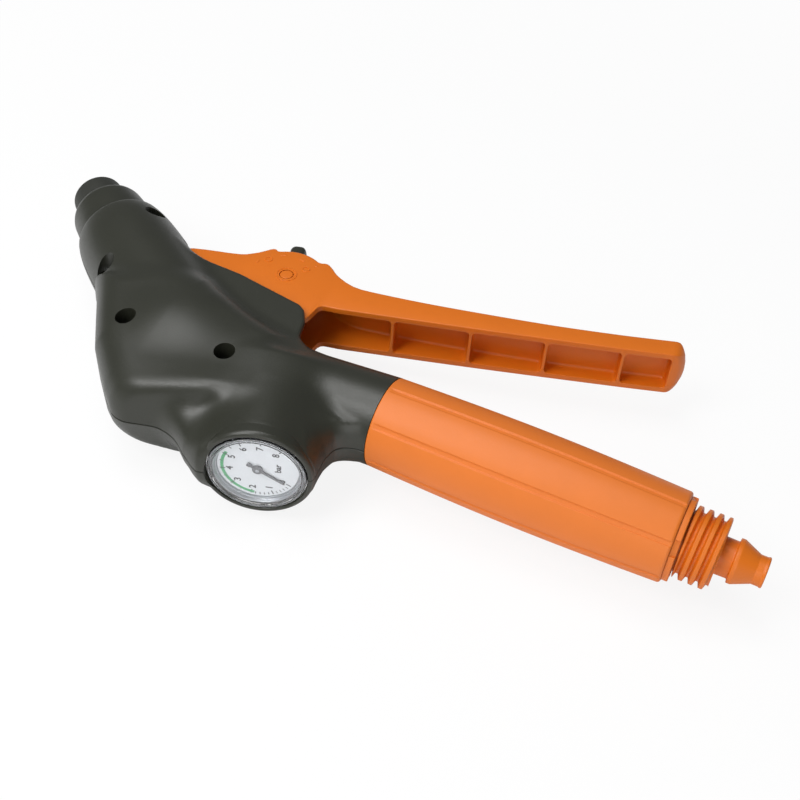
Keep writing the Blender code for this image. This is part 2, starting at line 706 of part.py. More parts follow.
def grip_sleeve(root):
    """Moulded sleeve with shallow lengthwise grooves and an end wall."""
    start = SEAT_GAP
    end = start + GRIP_LENGTH
    half = GROOVE_WIDTH / 2 / SEAM_RADIUS
    pitch = 2.0 * math.pi / GRIP_GROOVES
    offsets = [-half, -half * 0.5, half * 0.5, half]
    offsets += [half + (pitch - 2 * half) * k / 4 for k in (1, 2, 3)]
    angles = [pitch * g + off for g in range(GRIP_GROOVES) for off in offsets]
    sunk = [off in (-half * 0.5, half * 0.5) for _ in range(GRIP_GROOVES) for off in offsets]
    builder = bmesh.new()
    rows = []
    lip = 1.1 * MM

    def ring(x, radius, depth):
        row = []
        for angle, low in zip(angles, sunk):
            r = radius - (depth if low else 0.0)
            row.append(builder.verts.new((x, r * math.sin(angle), r * math.cos(angle))))
        rows.append(row)

    inner = SEAM_RADIUS - GRIP_WALL
    hole = THREAD_RADIUS - THREAD_DEPTH + SEAT_GAP
    ring(start, grip_radius(0.0) - 0.3 * MM, 0.0)
    ring(start + 0.4 * MM, grip_radius(0.0), 0.0)
    ring(start + 2.0 * MM, grip_radius(0.015), GROOVE_DEPTH)
    steps = 5
    for k in range(1, steps):
        ring(start + GRIP_LENGTH * k / steps, grip_radius(k / steps), GROOVE_DEPTH)
    ring(end - 2.0 * MM, grip_radius(0.985), GROOVE_DEPTH)
    ring(end - lip, grip_radius(1.0), GROOVE_DEPTH)
    ring(end - 0.3 * lip, grip_radius(1.0) - 0.3 * lip, 0.3 * GROOVE_DEPTH)
    ring(end, grip_radius(1.0) - lip, 0.0)
    ring(end, hole, 0.0)
    ring(end - GRIP_END_WALL, hole, 0.0)
    ring(end - GRIP_END_WALL, inner, 0.0)
    ring(start, inner, 0.0)
    grid_faces(builder, rows + [rows[0]], True)
    return smooth(object_from(builder, "grip_sleeve", grip_plastic(), root), 25)


GRIP_END = SEAT_GAP + GRIP_LENGTH
CONNECTOR_FRONT = GRIP_END + SEAT_GAP + END_RING_LENGTH + SEAT_GAP + 0.4 * MM
NIPPLE_END = (CONNECTOR_FRONT + THREAD_LENGTH + NIPPLE_NECK_LENGTH + BARB_LENGTH
              + NIPPLE_TIP_LENGTH)


def grip_end_ring(root):
    """Clip ring behind the thread, with windows cut in its rim."""
    start = GRIP_END + SEAT_GAP
    inner = THREAD_RADIUS - THREAD_DEPTH + SEAT_GAP
    profile = [(start, inner), (start + END_RING_LENGTH, inner),
               (start + END_RING_LENGTH, END_RING_RADIUS - 0.5 * MM),
               (start + END_RING_LENGTH - 0.5 * MM, END_RING_RADIUS), (start, END_RING_RADIUS)]
    ring = revolve("grip_end_ring", profile, grip_plastic(), root, along(Vector(), GRIP_AXIS),
                   True)
    tools = []
    for k in range(END_RING_WINDOWS):
        angle = math.radians(34.0) + 2.0 * math.pi * k / END_RING_WINDOWS
        window = block("window", (-0.1, END_RING_RADIUS - 1.2 * MM, -3.4 * MM),
                       (0.1, END_RING_RADIUS + 2.0 * MM, 3.4 * MM))
        window.data.transform(Matrix.Translation((start + END_RING_LENGTH + 0.1 - 1.5 * MM, 0, 0)))
        window.data.transform(Matrix.Rotation(-math.pi / 2 - angle, 4, "X"))
        tools.append(window)
    cut(ring, *tools)
    return smooth(ring)


def hose_connector(root):
    """Threaded stub with its hose nipple: a helical thread on a turned core."""
    root_radius = THREAD_RADIUS - THREAD_DEPTH
    count = ROUND
    start, end = CONNECTOR_FRONT, CONNECTOR_FRONT + THREAD_LENGTH
    pattern = ((0.0, root_radius), (0.22, THREAD_RADIUS), (0.45, THREAD_RADIUS),
               (0.67, root_radius))
    turns = int(math.ceil(THREAD_LENGTH / THREAD_PITCH)) + 1
    builder = bmesh.new()

    def vertex(x, radius, column):
        angle = 2.0 * math.pi * column / count
        return builder.verts.new((x, radius * math.sin(angle), radius * math.cos(angle)))

    columns = []
    for column in range(count + 1):
        line = []
        for turn in range(-1, turns + 1):
            for share, radius in pattern:
                x = start + THREAD_PITCH * (turn + share + column / count - 0.3)
                clamped = min(max(x, start), end)
                line.append(vertex(clamped, radius if clamped == x else root_radius, column))
        columns.append(line)
    grid_faces(builder, columns, False)
    bore, tube = NIPPLE_BORE, INLET_TUBE_RADIUS + SEAT_GAP
    flange = SEAM_RADIUS - GRIP_WALL - SEAT_GAP
    back = GRIP_END - GRIP_END_WALL - SEAT_GAP
    tail = back - CONNECTOR_FLANGE - CONNECTOR_TAIL
    neck_end = end + NIPPLE_NECK_LENGTH
    barb_end = neck_end + BARB_LENGTH
    pocket = tail + INLET_TUBE_DEPTH + FILTER_LENGTH + 2 * SEAT_GAP
    turned = [(end, root_radius), (end, NIPPLE_NECK_RADIUS), (neck_end, NIPPLE_NECK_RADIUS),
              (neck_end, BARB_RADIUS - 0.4 * MM), (neck_end + 0.4 * MM, BARB_RADIUS),
              (neck_end + 1.4 * MM, BARB_RADIUS - 0.1 * MM), (barb_end, NIPPLE_TIP_RADIUS),
              (NIPPLE_END - 1.4 * MM, NIPPLE_TIP_RADIUS - 0.1 * MM),
              (NIPPLE_END - 0.5 * MM, NIPPLE_TIP_RADIUS + 0.4 * MM),
              (NIPPLE_END, NIPPLE_TIP_RADIUS), (NIPPLE_END, bore), (pocket, bore),
              (pocket, tube), (tail, tube), (tail, root_radius - 1.5 * MM),
              (back - CONNECTOR_FLANGE, root_radius - 1.5 * MM),
              (back - CONNECTOR_FLANGE, flange), (back, flange), (back, root_radius),
              (start, root_radius)]
    rows = [[vertex(x, radius, column) for column in range(count)] for x, radius in turned]
    grid_faces(builder, rows, True)
    bmesh.ops.remove_doubles(builder, verts=builder.verts, dist=2e-6)
    return smooth(object_from(builder, "hose_connector", lever_plastic(), root))


def connector_tail():
    """Where the connector's inner end lies on the grip axis."""
    return GRIP_END - GRIP_END_WALL - SEAT_GAP - CONNECTOR_FLANGE - CONNECTOR_TAIL


def inlet_pieces(root):
    """Air tube through the grip, and the filter at its outer end."""
    start = BLOCK_END - INLET_TUBE_DEPTH + SEAT_GAP
    end = connector_tail() + INLET_TUBE_DEPTH
    place = along(Vector(), GRIP_AXIS)
    tube = revolve("inlet_tube", [(start, INLET_TUBE_BORE), (end, INLET_TUBE_BORE),
                                  (end, INLET_TUBE_RADIUS), (start, INLET_TUBE_RADIUS)],
                   brass(), root, place, True, 24)
    smooth(tube)
    low = end + SEAT_GAP
    high = low + FILTER_LENGTH - SEAT_GAP
    screen = revolve("inlet_filter", [(low, 0.0), (low, INLET_TUBE_RADIUS),
                                      (high - 1.0 * MM, INLET_TUBE_RADIUS),
                                      (high, NIPPLE_BORE), (high, 0.0)],
                     brass(), root, place, False, 24)
    smooth(screen)


# ================================================================= outlet end
def nose_tip(root):
    """Rubber outlet mouth, plugged into the collar."""
    root_radius = TIP_RADIUS - 2.0 * MM
    bore = OUTLET_TUBE_RADIUS + SEAT_GAP
    profile = [(TIP_MOUTH_DEPTH, bore), (TIP_MOUTH_DEPTH, TIP_MOUTH_RADIUS),
               (0.8 * MM, TIP_MOUTH_RADIUS), (0.0, TIP_MOUTH_RADIUS + 0.8 * MM),
               (0.0, TIP_RADIUS - 1.6 * MM), (0.5 * MM, TIP_RADIUS - 0.5 * MM),
               (1.6 * MM, TIP_RADIUS), (TIP_LENGTH, TIP_RADIUS), (TIP_LENGTH, root_radius),
               (TIP_LENGTH + TIP_ROOT_LENGTH, root_radius), (TIP_LENGTH + TIP_ROOT_LENGTH, bore)]
    return smooth(revolve("nose_tip", profile, rubber(), root,
                          along(barrel_point(0.0), -BARREL_AXIS), True))


def nose_collar(root):
    """Collar between the outlet mouth and the housing, spigoted into both."""
    start = TIP_LENGTH + SEAT_GAP
    end = start + COLLAR_LENGTH
    socket = TIP_RADIUS - 2.0 * MM + SEAT_GAP
    bore = OUTLET_TUBE_RADIUS + SEAT_GAP
    spigot = NOSE_RIM_RADIUS - WALL - 2.0 * SEAT_GAP
    step = start + TIP_ROOT_LENGTH
    profile = [(start, socket), (start, COLLAR_FRONT_RADIUS - 1.8 * MM),
               (start + 0.5 * MM, COLLAR_FRONT_RADIUS - 0.6 * MM),
               (start + 2.0 * MM, COLLAR_FRONT_RADIUS),
               (end, COLLAR_REAR_RADIUS), (end, spigot), (end + COLLAR_SPIGOT_LENGTH, spigot),
               (end + COLLAR_SPIGOT_LENGTH, bore), (step, bore), (step, socket)]
    return smooth(revolve("nose_collar", profile, black_plastic(), root,
                          along(barrel_point(0.0), -BARREL_AXIS), True, 32))


OUTLET_SPIGOT_LENGTH = 24.0 * MM
OUTLET_TUBE_SOCKET = 8.0 * MM


def valve_reach():
    """Depth on the barrel axis of the point level with the valve stem."""
    return (VALVE_X - BARREL_TIP.x) / -BARREL_AXIS.x


def outlet_tube(root):
    """Air tube from the valve body to the outlet mouth."""
    start = TIP_MOUTH_DEPTH + 1.0 * MM
    end = valve_reach() - OUTLET_SPIGOT_LENGTH + OUTLET_TUBE_SOCKET - SEAT_GAP
    return smooth(revolve("outlet_tube", [(start, OUTLET_TUBE_BORE), (start, OUTLET_TUBE_RADIUS),
                                          (end, OUTLET_TUBE_RADIUS), (end, OUTLET_TUBE_BORE)],
                          brass(), root, along(barrel_point(0.0), -BARREL_AXIS), True, 24))


# ================================================================= valve
def valve_body(root):
    """Cast body: inlet and gauge ports on the grip axis, cross valve, outlet spigot."""
    body = cylinder("valve_body", (0, 0, 0), GRIP_AXIS, BLOCK_START, BLOCK_END, BLOCK_RADIUS,
                    root, brass())
    body.data.transform(body.matrix_basis)
    body.matrix_basis = Matrix.Identity(4)
    cross = Vector((VALVE_X, 0.0, 0.0))
    side = Vector((0.0, 1.0, 0.0))
    meet = barrel_point(valve_reach())
    fuse(body, cylinder("cross", cross, side, VALVE_BOTTOM, VALVE_TOP, VALVE_HOUSING_RADIUS,
                        segments=24),
         cylinder("spigot", meet, BARREL_AXIS, 0.0, OUTLET_SPIGOT_LENGTH,
                  OUTLET_TUBE_RADIUS + 2.4 * MM, segments=24))
    cut(body, cylinder("chamber", cross, side, VALVE_BOTTOM - 1.0 * MM, SEAT_SHOULDER,
                       CHAMBER_RADIUS, segments=24),
        cylinder("flow", cross, side, 0.0, VALVE_TOP, FLOW_RADIUS, segments=20),
        cylinder("gland", cross, side, GLAND_SHOULDER, VALVE_TOP + 8.0 * MM, GLAND_RADIUS,
                 segments=24),
        cylinder("outlet", meet, BARREL_AXIS, 0.0, OUTLET_SPIGOT_LENGTH + 1.0 * MM,
                 FLOW_RADIUS * 0.8, segments=16),
        cylinder("socket", meet, BARREL_AXIS, OUTLET_SPIGOT_LENGTH - OUTLET_TUBE_SOCKET,
                 OUTLET_SPIGOT_LENGTH + 1.0 * MM, OUTLET_TUBE_RADIUS + SEAT_GAP, segments=24),
        cylinder("inlet", (0, 0, 0), GRIP_AXIS, BLOCK_END - INLET_TUBE_DEPTH, BLOCK_END + 1.0 * MM,
                 INLET_TUBE_RADIUS + SEAT_GAP, segments=24),
        cylinder("inlet_drilling", (0, -2.0 * MM, -5.4 * MM), GRIP_AXIS, VALVE_X,
                 BLOCK_END - 1.0 * MM, 1.8 * MM, segments=12),
        cylinder("gauge_port", gauge_point(gauge_seat()), GAUGE_AXIS, 0.0, 12.0 * MM,
                 GAUGE_STEM_RADIUS + SEAT_GAP, segments=24),
        cylinder("gauge_drilling", (0, 4.6 * MM, 0), GRIP_AXIS, VALVE_X, gauge_point(
                 gauge_seat()).x + 1.0 * MM, 1.2 * MM, segments=12),
        cylinder("gauge_cross", gauge_point(gauge_seat()), -GAUGE_AXIS, -1.0 * MM, 9.6 * MM,
                 1.2 * MM, segments=12))
    return smooth(merge_flats(body))


def gauge_seat():
    """Depth behind the gauge's front at which its stem seats in the valve body."""
    return (-GAUGE_FACE.y - 4.4 * MM) / -GAUGE_AXIS.y


def valve_trim(root):
    """Seat ring, gland ring, stem seal and screwed cap of the valve."""
    cross = Vector((VALVE_X, 0.0, 0.0))
    place = along(cross, Vector((0.0, 1.0, 0.0)))
    seat_top = SEAT_SHOULDER - SEAT_GAP
    smooth(revolve("valve_seat", [(seat_top - SEAT_THICKNESS, FLOW_RADIUS),
                                  (seat_top, FLOW_RADIUS), (seat_top, CHAMBER_RADIUS - SEAT_GAP),
                                  (seat_top - SEAT_THICKNESS, CHAMBER_RADIUS - SEAT_GAP)],
                   rubber(), root, place, True, 24))
    inner = STEM_RADIUS + RUN_GAP
    outer = GLAND_RADIUS - SEAT_GAP
    seal_low = GLAND_SHOULDER + SEAT_GAP
    seal_high = seal_low + 1.6 * MM
    smooth(revolve("stem_seal", [(seal_low, inner + 0.4 * MM), (seal_low, outer - 0.4 * MM),
                                 (seal_low + 0.8 * MM, outer), (seal_high, outer - 0.4 * MM),
                                 (seal_high, inner + 0.4 * MM), (seal_low + 0.8 * MM, inner)],
                   rubber(), root, place, True, 24))
    gland_low = seal_high + SEAT_GAP
    smooth(revolve("gland_ring", [(gland_low, inner), (gland_low, outer), (VALVE_TOP, outer),
                                  (VALVE_TOP + 1.2 * MM, outer - 0.6 * MM),
                                  (VALVE_TOP + 1.2 * MM, inner)], brass(), root, place, True, 24))
    cap = CHAMBER_RADIUS - SEAT_GAP
    top = VALVE_BOTTOM + CAP_LENGTH
    smooth(revolve("valve_cap", [(VALVE_BOTTOM - 1.5 * MM, 0.0), (VALVE_BOTTOM - 1.5 * MM, cap),
                                 (top, cap), (top, 0.0)], brass(), root, place, False, 24))


def valve_stem(root):
    """Push rod with its poppet, moved by the lever."""
    seat_face = SEAT_SHOULDER - SEAT_GAP - SEAT_THICKNESS
    head_top = seat_face - SEAT_GAP
    head = CHAMBER_RADIUS - 3.0 * SEAT_GAP
    profile = [(head_top - 2.6 * MM, 0.0), (head_top - 2.6 * MM, head - 0.6 * MM),
               (head_top - 2.0 * MM, head), (head_top - 0.3 * MM, head),
               (head_top, head - 0.3 * MM), (head_top, STEM_RADIUS),
               (STEM_TOP - 1.2 * MM, STEM_RADIUS), (STEM_TOP - 0.3 * MM, STEM_RADIUS * 0.75),
               (STEM_TOP, 0.0)]
    place = along(Vector((VALVE_X, 0.0, 0.0)), Vector((0.0, 1.0, 0.0)))
    return smooth(revolve("valve_stem", profile, steel(), root, place, False, 20))


def valve_spring(root):
    """Compression spring under the poppet, one unbroken round wire with closed end turns."""
    low = VALVE_BOTTOM + CAP_LENGTH + SEAT_GAP
    high = (SEAT_SHOULDER - SEAT_GAP - SEAT_THICKNESS - SEAT_GAP - 2.6 * MM) - SEAT_GAP
    wire = SPRING_WIRE / 2
    per_turn = 12
    total = SPRING_TURNS * per_turn
    sides = 6
    builder = bmesh.new()
    rows = []
    for k in range(total + 1):
        turn = 2.0 * math.pi * k / per_turn
        height = low + wire + (high - low - 2 * wire) * k / total
        out = Vector((math.cos(turn), 0.0, math.sin(turn)))
        centre = out * SPRING_RADIUS + Vector((VALVE_X, height, 0.0))
        row = []
        for j in range(sides):
            a = 2.0 * math.pi * j / sides
            offset = out * math.cos(a) + Vector((0.0, math.sin(a), 0.0))
            row.append(builder.verts.new(centre + offset * wire))
        rows.append(row)
    grid_faces(builder, rows, True)
    builder.faces.new(rows[0])
    builder.faces.new(rows[-1])
    return smooth(object_from(builder, "valve_spring", steel(), root), 60)


# ================================================================= gauge
def gauge_pieces(root):
    """Case, lens cap, dial, movement, curved pressure tube and stem."""
    place = along(GAUGE_FACE, GAUGE_AXIS)
    case_front = -DIAL_RECESS
    step = -LENS_SKIRT - SEAT_GAP
    back = -GAUGE_DEPTH
    shoulder = GAUGE_RADIUS - LENS_WALL - SEAT_GAP
    inner = DIAL_RADIUS + SEAT_GAP
    stem_hole = GAUGE_STEM_RADIUS + SEAT_GAP
    ledge = case_front - DIAL_THICKNESS - SEAT_GAP
    smooth(revolve("gauge_case", [(back, stem_hole), (back, GAUGE_RADIUS - 0.8 * MM),
                                  (back + 0.8 * MM, GAUGE_RADIUS - 0.2 * MM),
                                  (step, GAUGE_RADIUS - 0.2 * MM), (step, shoulder),
                                  (case_front, shoulder), (case_front, inner), (ledge, inner),
                                  (ledge, inner - 1.2 * MM),
                                  (back + 1.4 * MM, inner - 1.2 * MM),
                                  (back + 1.4 * MM, stem_hole)],
                   steel(), root, place, True, GAUGE_ROUND))
    smooth(revolve("gauge_lens", [(0.0, 0.0), (0.0, GAUGE_RADIUS - 1.6 * MM),
                                  (-0.5 * MM, GAUGE_RADIUS - 0.5 * MM),
                                  (-1.6 * MM, GAUGE_RADIUS),
                                  (-LENS_SKIRT, GAUGE_RADIUS),
                                  (-LENS_SKIRT, GAUGE_RADIUS - LENS_WALL),
                                  (-LENS_THICKNESS, GAUGE_RADIUS - LENS_WALL),
                                  (-LENS_THICKNESS, 0.0)],
                   clear_plastic(), root, place, False, GAUGE_ROUND))
    arbor_hole = 1.2 * MM
    smooth(revolve("gauge_dial", [(case_front, arbor_hole), (case_front, DIAL_RADIUS),
                                  (case_front - DIAL_THICKNESS, DIAL_RADIUS),
                                  (case_front - DIAL_THICKNESS, arbor_hole)],
                   dial_white(), root, place, True, GAUGE_ROUND))
    top = case_front - DIAL_THICKNESS - SEAT_GAP
    bottom = back + 3.0 * MM
    movement = 5.2 * MM
    smooth(revolve("gauge_movement", [(bottom, 0.0), (bottom, movement), (top, movement),
                                      (top, arbor_hole), (top - 6.0 * MM, arbor_hole),
                                      (top - 6.0 * MM, 0.0)], brass(), root, place, False, 20))
    smooth(revolve("gauge_stem", [(bottom - SEAT_GAP, 1.2 * MM),
                                  (bottom - SEAT_GAP, GAUGE_STEM_RADIUS),
                                  (-gauge_seat() + SEAT_GAP, GAUGE_STEM_RADIUS),
                                  (-gauge_seat() + SEAT_GAP, 1.2 * MM)],
                   brass(), root, place, True, 24))
    bourdon_tube(root, movement, (top + bottom) / 2)


def bourdon_tube(root, movement, height):
    """Flattened pressure tube bent round the movement, open between its two ends."""
    builder = bmesh.new()
    reach = DIAL_RADIUS - 4.6 * MM
    rows = []
    steps = 26
    section_points = [(-0.7 * MM, -2.4 * MM), (0.7 * MM, -2.4 * MM), (1.1 * MM, 0.0),
                      (0.7 * MM, 2.4 * MM), (-0.7 * MM, 2.4 * MM), (-1.1 * MM, 0.0)]
    path = [(movement + SEAT_GAP + 0.6 * MM, 0.0), ((movement + reach) / 2, math.radians(2.0))]
    path += [(reach, math.radians(12.0 + 258.0 * k / steps)) for k in range(steps + 1)]
    for k, (radius, angle) in enumerate(path):
        ahead = path[min(k + 1, len(path) - 1)]
        behind = path[max(k - 1, 0)]
        p0 = Vector((behind[0] * math.cos(behind[1]), behind[0] * math.sin(behind[1]), 0))
        p1 = Vector((ahead[0] * math.cos(ahead[1]), ahead[0] * math.sin(ahead[1]), 0))
        run = (p1 - p0).normalized()
        out = Vector((run.y, -run.x, 0.0))
        centre = Vector((radius * math.cos(angle), radius * math.sin(angle), height))
        rows.append([builder.verts.new(centre + out * u + UP * v) for u, v in section_points])
    grid_faces(builder, rows, True)
    builder.faces.new(rows[0])
    builder.faces.new(rows[-1])
    tube = object_from(builder, "bourdon_tube", brass(), root)
    tube.matrix_basis = along(GAUGE_FACE, GAUGE_AXIS)
    return smooth(tube)


def gauge_pointer(root):
    """Needle with its hub and arbor; local +Z is the arbor."""
    low = -DIAL_RECESS + 0.5 * MM
    high = low + 0.6 * MM
    width = 0.7 * MM
    outline = [(-POINTER_TAIL, -width), (-POINTER_TAIL, width), (0.0, width * 1.2),
               (POINTER_REACH * 0.9, width * 0.8), (POINTER_REACH, 0.0),
               (POINTER_REACH * 0.9, -width * 0.8), (0.0, -width * 1.2)]
    needle = prism("gauge_pointer", outline, low, high, rubber(), root)
    arbor_end = -DIAL_RECESS - DIAL_THICKNESS - 4.0 * MM
    fuse(needle, revolve("hub", [(low - 0.2 * MM, 0.0), (low - 0.2 * MM, 2.3 * MM),
                                 (high + 0.5 * MM, 2.0 * MM), (high + 0.5 * MM, 0.0)],
                         None, None, segments=20),
         revolve("arbor", [(arbor_end, 0.0), (arbor_end, 0.8 * MM), (low, 0.8 * MM), (low, 0.0)],
                 None, None, segments=12))
    turn = Matrix.Rotation(POINTER_ZERO, 4, "Z")
    needle.matrix_basis = along(GAUGE_FACE, GAUGE_AXIS) @ turn
    return smooth(needle)


# ================================================================= lever and catch
def lever_half_width(x):
    """Half width across the cheeks, tapering evenly toward the tip."""
    share = (x - LEVER_PIVOT[0]) / (LEVER_TIP_X - LEVER_PIVOT[0])
    return LEVER_HALF_WIDTH + (LEVER_TIP_HALF_WIDTH - LEVER_HALF_WIDTH) * share


def curve_through(points, steps=4):
    """Smooth plan curve through points (Catmull-Rom)."""
    padded = [points[0], *points, points[-1]]
    out = []
    for a, b, c, d in zip(padded, padded[1:], padded[2:], padded[3:]):
        for k in range(steps):
            t = k / steps
            out.append(tuple(0.5 * ((2 * b[i]) + (c[i] - a[i]) * t
                                    + (2 * a[i] - 5 * b[i] + 4 * c[i] - d[i]) * t ** 2
                                    + (3 * b[i] - a[i] - 3 * c[i] + d[i]) * t ** 3)
                             for i in (0, 1)))
    return out + [points[-1]]


LEVER_BACK = millimetres((-43.8, 59.2), (-7.3, 67.0), (45.3, 81.5), (96.3, 99.0))
LEVER_FRONT = millimetres((98.0, 89.0), (74.0, 80.6), (15.3, 60.9), (-44.7, 41.6))
LEVER_RIBS = (-22.0 * MM, 11.5 * MM, 43.8 * MM, 76.2 * MM)   # at the front edge
LEVER_BAYS_START = -46.0 * MM
LEVER_BAYS_END = LEVER_TIP_X - 4.2 * MM
LEVER_LEAN = math.tan(math.radians(18.5))    # of the ribs, square to the front edge
SHOULDER_ANGLES = (138.5, 52.2)              # of the two shoulders beside the catch


def lever_outline():
    """Plan outline of the lever: hub, catch arc between its shoulders, handle, and root."""
    edge = arc(LEVER_PIVOT, LEVER_HUB_RADIUS, 200.0, 112.0, 5)
    edge += millimetres((-113.7, 50.6), (-102.4, 54.5), (-97.4, 59.0))
    edge += [polar(CATCH_PIVOT, CATCH_SHOULDER_RADIUS, SHOULDER_ANGLES[0])]
    edge += arc(CATCH_PIVOT, CATCH_ARC_RADIUS, 130.0, 62.0, 8)
    edge += [polar(CATCH_PIVOT, CATCH_SHOULDER_RADIUS, SHOULDER_ANGLES[1])]
    edge += millimetres((-60.5, 64.8), (-55.9, 61.9), (-49.6, 59.8))
    edge += curve_through(LEVER_BACK, 3)
    edge += millimetres((99.6, 98.0), (LEVER_TIP_X / MM, 94.6), (100.4, 91.0))
    edge += curve_through(LEVER_FRONT, 3)
    edge += millimetres((-50.4, 39.6), (-52.6, 38.4), (-53.3, 35.6), (-53.3, 31.0), (-54.6, 27.4),
                        (-58.0, 25.6), (-97.0, 25.0))
    edge += arc((VALVE_X, 28.0 * MM), 6.0 * MM, 330.0, 210.0, 4)   # foot that pushes the valve
    edge += millimetres((-111.0, 25.4))
    return edge


def front_edge(x):
    """Height (Y) of the straight front edge line at a station."""
    (x0, y0), (x1, y1) = LEVER_FRONT[-1], LEVER_FRONT[0]
    return y0 + (y1 - y0) * (x - x0) / (x1 - x0)


def back_edge(x):
    """Height (Y) of the lever's back edge at a station beyond the catch."""
    return float(np.interp(x, *zip(*LEVER_BACK)))


def between_cheeks(name, outline, clearance=0.0):
    """Cutter over a plan outline that leaves the two cheeks standing."""
    def top(x):
        return lever_half_width(x) - LEVER_CHEEK + clearance

    return prism(name, outline, lambda x: -top(x), top, None, None)


def lever_pocket(start, end):
    """Cutter for one bay between two ribs, square to the lever's front edge."""
    above = 4.0 * MM
    rim, floor = [], []
    for x in (start, end):
        rim.append((x + above * LEVER_LEAN, front_edge(x) - above))
        far = x - (back_edge(x) - front_edge(x)) * LEVER_LEAN
        floor.append((far, back_edge(far) - LEVER_WEB))
    return between_cheeks("pocket", rim + floor[::-1])


def lever(root):
    """Squeeze lever: channel of two cheeks and a back web, with cross ribs."""
    body = prism("lever", lever_outline(), lambda x: -lever_half_width(x), lever_half_width,
                 lever_plastic(), root)
    bounds = [LEVER_BAYS_START, *LEVER_RIBS, LEVER_BAYS_END]
    for start, end in zip(bounds, bounds[1:]):
        first = start + (LEVER_RIB / 2 if start != bounds[0] else 0.0)
        last = end - (LEVER_RIB / 2 if end != bounds[-1] else 0.0)
        cut(body, lever_pocket(first, last))
    cut(body, catch_bay())
    cut(body, catch_slot())
    cut(body, cylinder("pin_hole", (*LEVER_PIVOT, 0.0), UP, -20 * MM, 20 * MM,
                       PIVOT_PIN_RADIUS + RUN_GAP, segments=20),
        cylinder("catch_hole", (*CATCH_PIVOT, 0.0), UP, -20 * MM, 20 * MM,
                 CATCH_PIN_RADIUS + RUN_GAP, segments=20))
    set_origin(body, (*LEVER_PIVOT, 0.0))
    return smooth(body)


def catch_bay():
    """Cutter for the open space between the cheeks round the catch."""
    outline = arc(CATCH_PIVOT, CATCH_ARC_RADIUS - LEVER_WEB, 160.0, 30.0, 10)
    outline += millimetres((-52.0, 56.0), (-45.0, 55.6), (-38.0, 56.0), (-38.0, 20.0),
                           (-94.5, 20.0))
    return between_cheeks("bay", outline, 0.2 * MM)


def catch_slot():
    """Cutter for the slot in the web through which the catch stands out."""
    half = CATCH_HALF_THICKNESS + 2.0 * RUN_GAP
    inner = CATCH_ARC_RADIUS - LEVER_WEB - 2.0 * MM
    outer = CATCH_SHOULDER_RADIUS + 2.0 * MM
    outline = arc(CATCH_PIVOT, inner, 54.0, 137.0, 6) + arc(CATCH_PIVOT, outer, 137.0, 54.0, 6)
    return prism("catch_slot", outline, -half, half, None, None)


def lock_catch(root):
    """Thumb catch: hub on its pin, round-ended tab above, short hook below."""
    half = CATCH_WIDTH / 2
    tip = CATCH_REACH - half
    tail = CATCH_TAIL
    outline = [(0.0, -half)] + arc((tip, 0.0), half, -90.0, 90.0, 8) + [(0.0, half)]
    outline += [(-tail, half * 0.7), (-tail - 0.4 * MM, -half * 0.9),
                (-tail + 2.5 * MM, -half * 1.3), (-tail + 3.5 * MM, -half * 0.6)]
    tab = prism("lock_catch", outline, -CATCH_HALF_THICKNESS, CATCH_HALF_THICKNESS,
                black_plastic(), root)
    hub_half = lever_half_width(CATCH_PIVOT[0]) - LEVER_CHEEK - RUN_GAP
    fuse(tab, cylinder("hub", (0, 0, 0), UP, -hub_half, hub_half, CATCH_HUB_RADIUS, segments=24))
    cut(tab, cylinder("bore", (0, 0, 0), UP, -20 * MM, 20 * MM, CATCH_PIN_RADIUS + RUN_GAP,
                      segments=20))
    tab.data.transform(Matrix.Rotation(CATCH_ANGLE, 4, "Z"))
    tab.matrix_basis = Matrix.Translation((*CATCH_PIVOT, 0.0))
    return smooth(tab)


def pins(root):
    """Pivot pin in the housing, and catch pin in the lever's cheeks."""
    half = PIVOT_PIN_HALF_LENGTH
    smooth(revolve("lever_pivot_pin", [(-half, 0.0), (-half, PIVOT_PIN_RADIUS - 0.4 * MM),
                                       (-half + 0.4 * MM, PIVOT_PIN_RADIUS),
                                       (half - 0.4 * MM, PIVOT_PIN_RADIUS),
                                       (half, PIVOT_PIN_RADIUS - 0.4 * MM), (half, 0.0)],
                   steel(), root, Matrix.Translation((*LEVER_PIVOT, 0.0)), False, 20))
    half = lever_half_width(CATCH_PIVOT[0]) + 0.2 * MM
    smooth(revolve("catch_pin", [(-half, 0.0), (-half, CATCH_PIN_RADIUS - 0.3 * MM),
                                 (-half + 0.3 * MM, CATCH_PIN_RADIUS),
                                 (half - 0.3 * MM, CATCH_PIN_RADIUS),
                                 (half, CATCH_PIN_RADIUS - 0.3 * MM), (half, 0.0)],
                   lever_plastic(), root,
                   Matrix.Translation((*CATCH_PIVOT, 0.0)), False, 20))


# ================================================================= assembly
def empty(name, parent=None):
    made = bpy.data.objects.new(name, None)
    bpy.context.scene.collection.objects.link(made)
    made.parent = parent
    return made


def world_box():
    """Lowest and highest corner of every modelled piece."""
    bpy.context.view_layer.update()
    corners = []
    for thing in bpy.data.objects:
        if thing.type == "MESH":
            count = len(thing.data.vertices)
            flat = np.empty(count * 3, dtype=np.float32)
            thing.data.vertices.foreach_get("co", flat)
            local = np.c_[flat.reshape(-1, 3), np.ones(count)]
            corners.append((local @ np.array(thing.matrix_world).T)[:, :3])
    points = np.concatenate(corners)
    return points.min(axis=0), points.max(axis=0)


